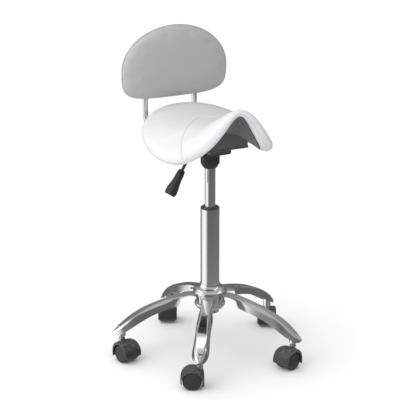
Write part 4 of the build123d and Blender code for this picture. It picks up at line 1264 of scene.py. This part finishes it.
# a narrow strip light overhead, across the room
strip = maths(tree, "MULTIPLY", step_between(maths(tree, "ABSOLUTE", maths(
    tree, "MULTIPLY_ADD", axes.outputs["X"], 0.5, axes.outputs["Y"])), 0.16, 0.08),
    step_between(height_here, 0.35, 0.5))
seen = maths(tree, "MULTIPLY_ADD", panel, PANEL_LIGHT,
             maths(tree, "MULTIPLY_ADD", strip, STRIP_LIGHT, room))
# soft light leans to one side: bright from the upper left, dim from the lower right
lean = place(tree, "ShaderNodeVectorMath", {0: ray, 1: ROOM_TOWARDS}, operation="DOT_PRODUCT")
soft = maths(tree, "MULTIPLY_ADD", lean.outputs["Value"], ROOM_LEAN, ROOM_LIGHT)
rays = place(tree, "ShaderNodeLightPath")
plain = place(tree, "ShaderNodeMix", {"Factor": rays.outputs["Is Camera Ray"], "A": soft, "B": 1.0})
strength = place(tree, "ShaderNodeMix", {"Factor": rays.outputs["Is Glossy Ray"],
                                         "A": plain.outputs[0], "B": seen})
background = place(tree, "ShaderNodeBackground",
                   {"Color": (1.0, 1.0, 1.0, 1.0), "Strength": strength.outputs[0]})
output = place(tree, "ShaderNodeOutputWorld")
tree.links.new(background.outputs[0], output.inputs["Surface"])
print("world made")


# %% Soft lights
def soft_light(name, place_at, aim_at, size, power):
    """A square area light that mirrors don't show."""
    light = bpy.data.lights.new(name, "AREA")
    light.energy, light.size = power, size
    lamp = bpy.data.objects.new(name, light)
    lamp.location = place_at
    lamp.rotation_mode = "QUATERNION"
    lamp.rotation_quaternion = (Vector(aim_at) - Vector(place_at)).to_track_quat("-Z", "Y")
    lamp.visible_glossy = False
    bpy.context.collection.objects.link(lamp)
    return lamp


STOOL_MIDDLE = (0.0, 0.0, 0.5)
soft_light("key", (-2.6, -0.9, 2.2), STOOL_MIDDLE, 1.6, 9)
soft_light("top", (-0.2, -0.6, 3.0), STOOL_MIDDLE, 2.2, 2)
soft_light("front", (-1.4, -2.8, 1.0), STOOL_MIDDLE, 1.8, 1)
print("three soft lights")

# %% [markdown]
# ## Camera
#
# A long lens far away keeps the stool's parts in proportion, and a raised view shows the saddle's
# top. The camera's axes are written as rows: right, up and back.

# %% Camera
CAMERA_PLACE = (-1.857, -3.210, 1.553)
RIGHT, UP, BACK = (0.8691, -0.4946, 0.0), (0.1436, 0.2524, 0.9569), (-0.4733, -0.8317, 0.2904)
LENS = 133.15
camera_data = bpy.data.cameras.new("camera")
camera_data.sensor_width = 36.0
camera_data.lens = LENS
camera = bpy.data.objects.new("camera", camera_data)
camera.matrix_world = Matrix.Translation(CAMERA_PLACE) @ Matrix((RIGHT, UP, BACK)).transposed().to_4x4()
bpy.context.collection.objects.link(camera)
bpy.context.scene.camera = camera
bpy.context.scene.view_settings.view_transform = "Standard"
print("camera", LENS, "mm")
